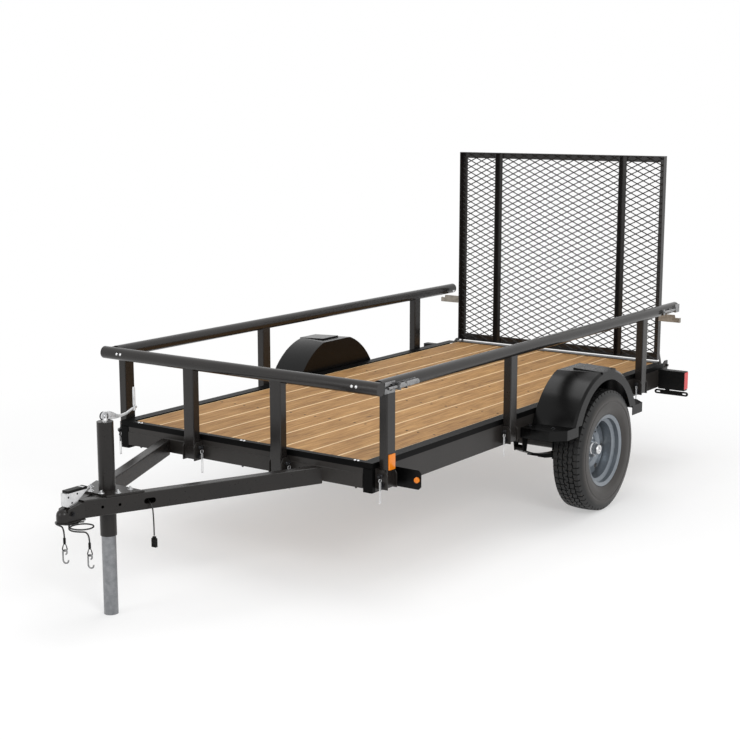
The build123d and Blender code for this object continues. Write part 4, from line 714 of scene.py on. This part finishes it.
# ------------------------------------------------------------- ramp's mesh
LONG_WAY, SHORT_WAY = 0.0762, 0.0381       # a diamond's length and height
STRAND_WIDE, STRAND_THICK = 0.0062, 0.0014
STRAND_SEED = 0.0004          # length of the slice that a strand is drawn from
STRAND_LAP = 0.03             # share of its length that it starts early
KNUCKLE = 1.3                 # a strand's width at its knuckles, in strand widths
STRAND_STEPS = ((0.16, 0.77), (0.74, 1.0), (0.16, 1.3))    # share of its length, change of width
STRAND_LEAN = (0.90, 0.42)    # across the strand, and through the sheet


def expanded_metal():
    """Expanded steel, slit and stretched: leaning strands that widen into a knuckle at each
    crossing."""
    wide, tall = MESH_HIGH.y - MESH_LOW.y, MESH_HIGH.z - MESH_LOW.z
    columns, rows = round(wide / LONG_WAY), round(tall / SHORT_WAY)
    along_y, along_z = wide / columns, tall / rows
    x = (MESH_LOW.x + MESH_HIGH.x) / 2
    for column, row in ((0, 0), (1, 1)):
        for way in (1, -1):
            foot = Vector((x, MESH_LOW.y + (column / 2 - 0.75) * along_y,
                           MESH_LOW.z + (row / 2 - 0.75) * along_z))
            run = Vector((0, along_y / 2, way * along_z / 2))
            heading = run.normalized()
            lean = (Vector((1, 0, 0)).cross(heading) * STRAND_LEAN[0]
                    + Vector((STRAND_LEAN[1] * way, 0, 0))).normalized()
            thick = heading.cross(lean).normalized()
            turn = Matrix((lean, thick, heading)).transposed().to_euler()
            solid("cube", size=1, location=foot - run * STRAND_LAP, rotation=turn,
                  scale=(STRAND_WIDE * KNUCKLE, STRAND_THICK, STRAND_SEED))
            pick("FACE", lambda at, normal: normal.dot(heading) > SHARP)
            for share, grow in STRAND_STEPS:
                draw(*(run * share))
                swell(grow, middle_of_end())
    bpy.ops.object.mode_set(mode="OBJECT")
    part = bpy.context.object
    for step, count in (((0, along_y, 0), columns + 2), ((0, 0, along_z), rows + 2)):
        repeat = part.modifiers.new("repeat", "ARRAY")
        repeat.use_relative_offset, repeat.use_constant_offset = False, True
        repeat.constant_offset_displace, repeat.count = step, count
        bpy.ops.object.modifier_apply(modifier=repeat.name)
    bpy.ops.object.mode_set(mode="EDIT")
    for corner, normal in ((MESH_LOW, (0, -1, 0)), (MESH_HIGH, (0, 1, 0)),
                           (MESH_LOW, (0, 0, -1)), (MESH_HIGH, (0, 0, 1))):
        bpy.ops.mesh.select_all(action="SELECT")
        bpy.ops.mesh.bisect(plane_co=corner, plane_no=normal, clear_outer=True, use_fill=True)
    done("expanded_metal", "mesh_coat", "ramp", ["ramp_mesh"], crease=30)


expanded_metal()


# ------------------------------------------------------------- models of bolts, pins and clips
WASHER = 0.0016               # washer's thickness
HEAD_FOOT = 0.0014            # bolt head's foot, just inside the washer's top
SUNK = 0.0004                 # how deep a round head sits in what it holds
PIN = ((0, 0, 0.002), (0.0075, 0, 0.002), (0.0085, 0, 0.004), (0.0085, 0, 0.007),
       (0.006, 0, 0.010), (0.006, 0, 0.024), (0.0045, 0, 0.026), (0, 0, 0.026))
PIN_RING = (0, 0, 0.019)
CLIP_WIRE = 0.0016
CLIP_BEND_Z = -0.104


def hexagon_bolt(radius):
    """Hexagon head with a chamfered crown, on its washer."""
    solid("cylinder", vertices=20, radius=radius * 1.5, depth=WASHER, location=(0, 0, WASHER / 2))
    pick("EDGE", lambda at, heading: abs(heading.z) < 0.1 and at.z > 0.001)
    chamfer(width=0.0005, segments=1)
    solid("cylinder", vertices=6, radius=radius, depth=radius * 0.66,
          location=(0, 0, HEAD_FOOT + radius * 0.33))
    top_face()
    bpy.ops.mesh.inset(thickness=radius * 0.14, depth=radius * 0.09)


def stud_and_nut(radius):
    """Nut on its washer, with the bolt's end standing through it."""
    hexagon_bolt(radius)
    solid("cylinder", vertices=14, radius=radius * 0.55, depth=radius * 1.5,
          location=(0, 0, radius * 0.75))
    top_face()
    bpy.ops.mesh.inset(thickness=radius * 0.1, depth=radius * 0.08)


def round_head(radius, height):
    """Carriage bolt's low dome."""
    solid("uv_sphere", segments=16, ring_count=8, radius=radius)
    bpy.ops.transform.resize(value=(1, 1, height / radius), center_override=(0, 0, 0))
    bpy.ops.mesh.bisect(plane_co=(0, 0, -SUNK), plane_no=UP, clear_inner=True, use_fill=True)


def lock_pin():
    """Lock pin's round head and shank, with the ring through it."""
    spin_up(PIN, (0, 0, 0), UP, steps=18)
    solid("torus", major_radius=0.0095, minor_radius=0.0016, major_segments=22, minor_segments=8,
          location=PIN_RING, rotation=(math.radians(12), 0, 0))
    swell(1.12, PIN_RING)


def spring_clip():
    """Hairpin clip: two wire legs that hang side by side, joined by a round bend below and an eye
    above."""
    wire_end((0.0045, 0, -0.008), (0, 0, -1), CLIP_WIRE)
    draw(0.0012, 0, -0.056)
    draw(-0.0012, 0, -0.040)
    bend(180, (0, 0, CLIP_BEND_Z), (0, -1, 0), steps=8)
    draw(0, 0, 0.048)
    draw(0, 0, 0.048)
    solid("torus", major_radius=0.0085, minor_radius=CLIP_WIRE, major_segments=20,
          minor_segments=8, rotation=ON_SIDE)
    swell(1.05, (0, 0, 0))


# ------------------------------------------------------------- hardware in its places
BRACKET_OUT = 0.010           # brackets' outer faces beyond the posts'
CLIP_ALONG, CLIP_BELOW, CLIP_OUT = 0.019, 0.018, 0.004     # clip's eye from the lock pin's foot
EDGE_BOLTS = (-0.640, 0.016, 0.670)        # pairs along the deck's front edge
EDGE_BOLT_X, EDGE_BOLT_HALF = FRONT - 0.014, 0.009
BOLT_ENDS = (-0.655, 0.0, 0.655)
BOLT_END_X, BOLT_END_Z = FRONT - 0.030, FRAME_LOW.z + 0.017
CROSS_COUNT = 5
SCREW_HALF = 0.045            # screws either side of a plank's middle
JACK_STUDS = ((0.062, 0.030), (0.016, 0.080), (-0.055, 0.080))       # ahead of the jack, and out
COUPLER_BOLT = (FRONT + 1.062, 0.0335, 0.492)
LEVER_RIVETS = ((1.068, 0.560), (1.050, 0.534), (1.020, 0.566))      # ahead of the frame, and up
LEVER_EDGE_X, LEVER_EDGE_SIZE = FRONT + 1.018, (0.108, 0.034, 0.012)
LEVER_EDGE_DROP = 0.007       # its middle below the lever's top
CRANK_UP = 0.021              # crank's hub above the jack's top
CRANK_THICK = 0.007
CRANK_WASHER_Y = -0.0085      # washer's middle, from the hub's
PADDLE_FROM_HUB, PADDLE_SIZE = Vector((-0.014, 0, -0.001)), (0.028, CRANK_THICK, 0.037)
PADDLE_ROUND_FROM = 0.012     # its edges are rounded from here outwards
PADDLE_STEPS = (((-0.018, 0, -0.004), 0.80), ((-0.022, 0, -0.006), 0.62),
                ((-0.022, 0, -0.002), 0.60), ((-0.034, 0, 0.004), 0.95),
                ((-0.030, 0, 0.011), 1.0), ((-0.032, 0, 0.009), 1.0))
GRIP = ((0, -0.008), (0.006, -0.008), (0.006, 0.004), (0.0042, 0.006), (0.0042, 0.012),
        (0.0056, 0.014), (0.0056, 0.086), (0.0045, 0.092), (0, 0.093))
GRIP_FROM_HUB = (-0.172, 0.004)
SHAFT = ((0, 0, -0.021), (0.012, 0, -0.021), (0.012, 0, -0.012), (0.0095, 0, -0.008),
         (0, 0, -0.008))
RAIL_SCREWS = (0.694, 0.718)
RAIL_SCREW_DROP = 0.026       # below the rail's top
REFLECTOR_Z, REFLECTOR_SIZE = 0.591, (0.048, 0.005, 0.070)
FOOT_REACH = 0.434            # fender's feet ahead of and behind its middle
FOOT_BOLTS = (HALF + 0.019, HALF + 0.153)
FOOT_THICK = 0.004
LATCH_BOLTS = (0.870, 0.919)
LATCH_FACE = RAMP_HALF + 0.0002


def bracket_hardware():
    """Hinge bolts, lock pins and their clips at every post's bracket."""
    reach = POST_LONG / 2 + BRACKET_OUT
    hinges, pins, clips = [], [], []
    for x in SIDE_POSTS:
        for side in (1, -1):
            hinges += [((x + end * reach, side * POST_Y, HINGE_Z), (end, 0, 0)) for end in (1, -1)]
            pins.append(((x + reach, side * POST_Y, LOCK_Z), (1, 0, 0)))
            clips.append(((x + reach + CLIP_ALONG, side * POST_Y + CLIP_OUT, LOCK_Z - CLIP_BELOW),
                          UP))
    for y in FRONT_POSTS:
        hinges += [((FRONT_POST_X, y + end * reach, HINGE_Z), (0, end, 0)) for end in (1, -1)]
        pins.append(((FRONT_POST_X, y + reach, LOCK_Z), (0, 1, 0)))
        clips.append(((FRONT_POST_X, y + reach + CLIP_ALONG, LOCK_Z - CLIP_BELOW), UP))
    hexagon_bolt(radius=0.009)
    set_out(hinges)
    done("bracket_bolts", "dark_steel")
    lock_pin()
    set_out(pins)
    done("lock_pins", "dark_steel")
    spring_clip()
    set_out(clips)
    done("spring_clips", "bright_zinc")


def deck_hardware():
    """Carriage bolts along the deck's front edge, their ends below, and screws over each
    crossmember."""
    round_head(radius=0.0070, height=0.0040)
    set_out([((EDGE_BOLT_X, y + way, EDGING_TOP), UP) for y in EDGE_BOLTS
             for way in (-EDGE_BOLT_HALF, EDGE_BOLT_HALF)])
    done("carriage_bolts", "bright_zinc")
    stud_and_nut(radius=0.009)
    set_out([((BOLT_END_X, y, BOLT_END_Z), (0, 0, -1)) for y in BOLT_ENDS])
    done("carriage_bolt_ends", "dark_steel")
    solid("cylinder", vertices=10, radius=0.0065, depth=0.0012)
    top_face()
    bpy.ops.mesh.inset(thickness=0.0034, depth=-0.0006)
    first, last = CROSSMEMBERS
    span = [first + (last - first) * step / (CROSS_COUNT - 1) for step in range(CROSS_COUNT)]
    set_out([((x, row * BOARD_PITCH + way * SCREW_HALF, DECK_TOP), UP)
             for x in span for row in range(-4, 5) for way in (-1, 1)])
    done("deck_screws", "screw_steel")


def tongue_hardware():
    """Studs that clamp the jack's plate, the coupler's bolts, and the lever's rivets and rubber
    edge."""
    stud_and_nut(radius=0.0085)
    set_out([((JACK_X + x, side * y, PLATE_TOP), UP) for side in (1, -1) for x, y in JACK_STUDS])
    done("jack_studs", "bright_zinc")
    hexagon_bolt(radius=0.0065)
    x, y, z = COUPLER_BOLT
    set_out([((x, side * y, z), (0, side, 0)) for side in (1, -1)])
    done("coupler_bolts", "dark_steel")
    round_head(radius=0.0042, height=0.0018)
    set_out([((FRONT + x, side * LEVER_HIGH.y, z), (0, side, 0)) for side in (1, -1)
             for x, z in LEVER_RIVETS])
    done("lever_rivets", "black_coat")
    middle = (LEVER_LOW + LEVER_HIGH) / 2
    solid("cube", size=1, location=(LEVER_EDGE_X, middle.y, LEVER_HIGH.z - LEVER_EDGE_DROP),
          scale=LEVER_EDGE_SIZE)
    top_face()
    bpy.ops.mesh.inset(thickness=0.004, depth=0.0)
    bpy.ops.mesh.select_all(action="SELECT")
    chamfer(width=0.002)
    done("lever_edge", "black_plastic")


def jack_crank():
    """Crank: a round-ended paddle on the jack's shaft, a bar forged on from it, and a turning
    grip."""
    hub = Vector((JACK_X, 0, JACK_TOP.z + CRANK_UP))
    solid("cylinder", vertices=28, radius=0.0195, depth=CRANK_THICK, location=hub,
          rotation=ON_SIDE)
    pick("FACE", lambda at, normal: abs(normal.y) > SHARP)
    bpy.ops.mesh.inset(thickness=0.012, use_individual=True)
    bpy.ops.mesh.extrude_faces_move(TRANSFORM_OT_shrink_fatten={"value": 0.0035})
    solid("cube", size=1, location=hub + PADDLE_FROM_HUB, scale=PADDLE_SIZE)
    pick("FACE", lambda at, normal: normal.x < -SHARP)
    for step, height in PADDLE_STEPS:
        draw(*step)
        bpy.ops.transform.resize(value=(1, 1, height), center_override=middle_of_end())
    pick_anew("EDGE", lambda at, heading: abs(heading.y) < 0.5
              and at.x < hub.x - PADDLE_ROUND_FROM and abs(at.y) > 0.003)
    chamfer(width=0.0012)
    bpy.ops.mesh.select_all(action="DESELECT")
    grip = Vector((hub.x + GRIP_FROM_HUB[0], 0, hub.z + GRIP_FROM_HUB[1]))
    spin_up([grip + Vector((reach, 0, up)) for reach, up in GRIP], grip, UP, steps=16)
    spin_up([hub + Vector(step) for step in SHAFT], hub, UP, steps=18)
    done("crank", "bright_zinc", stands_for=["jack_crank"])
    solid("cylinder", vertices=28, radius=0.0185, depth=0.009, rotation=ON_SIDE,
          location=hub + Vector((0, CRANK_WASHER_Y, 0)))
    pick("EDGE", lambda at, heading: abs(heading.y) < 0.1)
    chamfer(width=0.0015)
    done("crank_washer", "black_plastic")


def rail_hardware():
    """Screw pairs on the front rail's face near its ends, and amber reflectors on the front side
    posts."""
    round_head(radius=0.0070, height=0.0030)
    set_out([((RAIL_FACE - SUNK, side * y, RAIL_TOP - RAIL_SCREW_DROP), (1, 0, 0.12))
             for side in (1, -1) for y in RAIL_SCREWS])
    done("rail_bolts", "bright_zinc", "rail_front")
    for side, name in ((1, "left"), (-1, "right")):
        face = side * (POST_Y + POST_DEEP / 2 + REFLECTOR_SIZE[1] / 2)
        solid("cube", size=1, location=(SIDE_POSTS[0], face, REFLECTOR_Z), scale=REFLECTOR_SIZE)
        pick("EDGE", lambda at, heading: abs(heading.y) > SHARP)
        chamfer(width=0.004, segments=3)
        pick_anew("FACE", lambda at, normal: normal.y * side > SHARP)
        bpy.ops.mesh.inset(thickness=0.003, depth=0.0012)
        done(f"reflector_{name}", "amber_lens", f"rail_{name}")


def fender_hardware():
    """Bolts through the fenders' feet."""
    hexagon_bolt(radius=0.008)
    middle = (FENDER_LOW.x + FENDER_HIGH.x) / 2
    set_out([((middle + end * FOOT_REACH, side * y, FOOT_TOP + FOOT_THICK), UP) for end in (1, -1)
             for side in (1, -1) for y in FOOT_BOLTS])
    done("fender_bolts", "dark_steel")


def ramp_hardware():
    """Bolts of the ramp's latch plates."""
    hexagon_bolt(radius=0.007)
    set_out([((RAMP_X, side * LATCH_FACE, z), (0, side, 0)) for side in (1, -1)
             for z in LATCH_BOLTS])
    done("latch_bolts", "bright_zinc", "ramp")


bracket_hardware()
deck_hardware()
tongue_hardware()
jack_crank()
rail_hardware()
fender_hardware()
ramp_hardware()


# ------------------------------------------------------------- floor, lights, background
FLOOR_SIZE = 60
SHADOW_TO, WHITE_FROM = 2.2, 4.2           # metres from the trailer's middle
SHADOW_FADE = 0.42            # share of plain white where the shadow lies
SURROUND = 0.72               # strength of the surroundings as a light
LAMPS = (                     # name, place, what it is aimed at, size in metres, watts
    ("key", (4.5, 6.5, 5.5), (0.0, 0.0, 0.5), 3.0, 240.0),
    ("fill", (7.5, -2.0, 3.0), (0.5, 0.0, 0.6), 3.0, 80.0),
    ("top", (-1.0, 0.0, 6.5), (-0.5, 0.0, 0.5), 4.0, 130.0),
)


def seen_rays(tree):
    """One for the rays that look at a surface, straight, mirrored or through glass, and nought for
    those that only light others."""
    ray = add(tree, "LightPath").outputs
    seen = add(tree, "Math", {"operation": "MAXIMUM"}, i0=ray["Is Camera Ray"],
               i1=ray["Is Glossy Ray"])
    return add(tree, "Math", {"operation": "MAXIMUM"}, i0=seen, i1=ray["Is Transmission Ray"])


def pale_floor():
    """Painted concrete, rolled matt white: it holds a light shadow near the trailer, and is plain
    white further off."""
    solid("plane", size=FLOOR_SIZE)
    bpy.ops.mesh.subdivide(number_cuts=1)
    bpy.ops.object.mode_set(mode="OBJECT")
    floor = bpy.context.object
    floor.name = "floor"
    material, tree, place = new_finish("matt_white_floor")
    far = add(tree, "MapRange", {"interpolation_type": "SMOOTHSTEP"}, From_Min=SHADOW_TO,
              From_Max=WHITE_FROM, To_Min=SHADOW_FADE, To_Max=1.0,
              Value=add(tree, "VectorMath", {"operation": "LENGTH"}, i0=place))
    whiter = add(tree, "Math", {"operation": "MULTIPLY"}, i0=far, i1=seen_rays(tree))
    tint = add(tree, "ValToRGB", {"stops": [(0.0, "#F4F4F4"), (1.0, "#FAFAFA")]},
               Fac=add(tree, "TexNoise", Vector=place, Scale=every(900)))
    paint = add(tree, "BsdfPrincipled", Base_Color=tint, Roughness=0.9, Specular_IOR_Level=0.2)
    white = add(tree, "Emission", Color=(1, 1, 1, 1), Strength=1.0)
    surface(tree, add(tree, "MixShader", i0=whiter, i1=paint, i2=white))
    floor.data.materials.append(material)


def lights():
    """White surroundings, seen at full white and lighting at a plain level, with soft lamps above
    and ahead."""
    world = bpy.data.worlds.new("studio")
    bpy.context.scene.world = world
    world.use_nodes = True
    tree = world.node_tree
    level = add(tree, "MapRange", Value=seen_rays(tree), To_Min=SURROUND, To_Max=1.0)
    tree.links.new(level.outputs["Result"], tree.nodes["Background"].inputs["Strength"])
    tree.nodes["Background"].inputs["Color"].default_value = (1, 1, 1, 1)
    for name, place, aim, size, power in LAMPS:
        lamp = bpy.data.lights.new(name, "AREA")
        lamp.energy, lamp.size = power, size
        holder = bpy.data.objects.new(name, lamp)
        holder.location = place
        holder.rotation_euler = (Vector(aim) - Vector(place)).to_track_quat("-Z", "Y").to_euler()
        bpy.context.scene.collection.objects.link(holder)


pale_floor()
lights()
bpy.context.scene.view_settings.view_transform = "Standard"
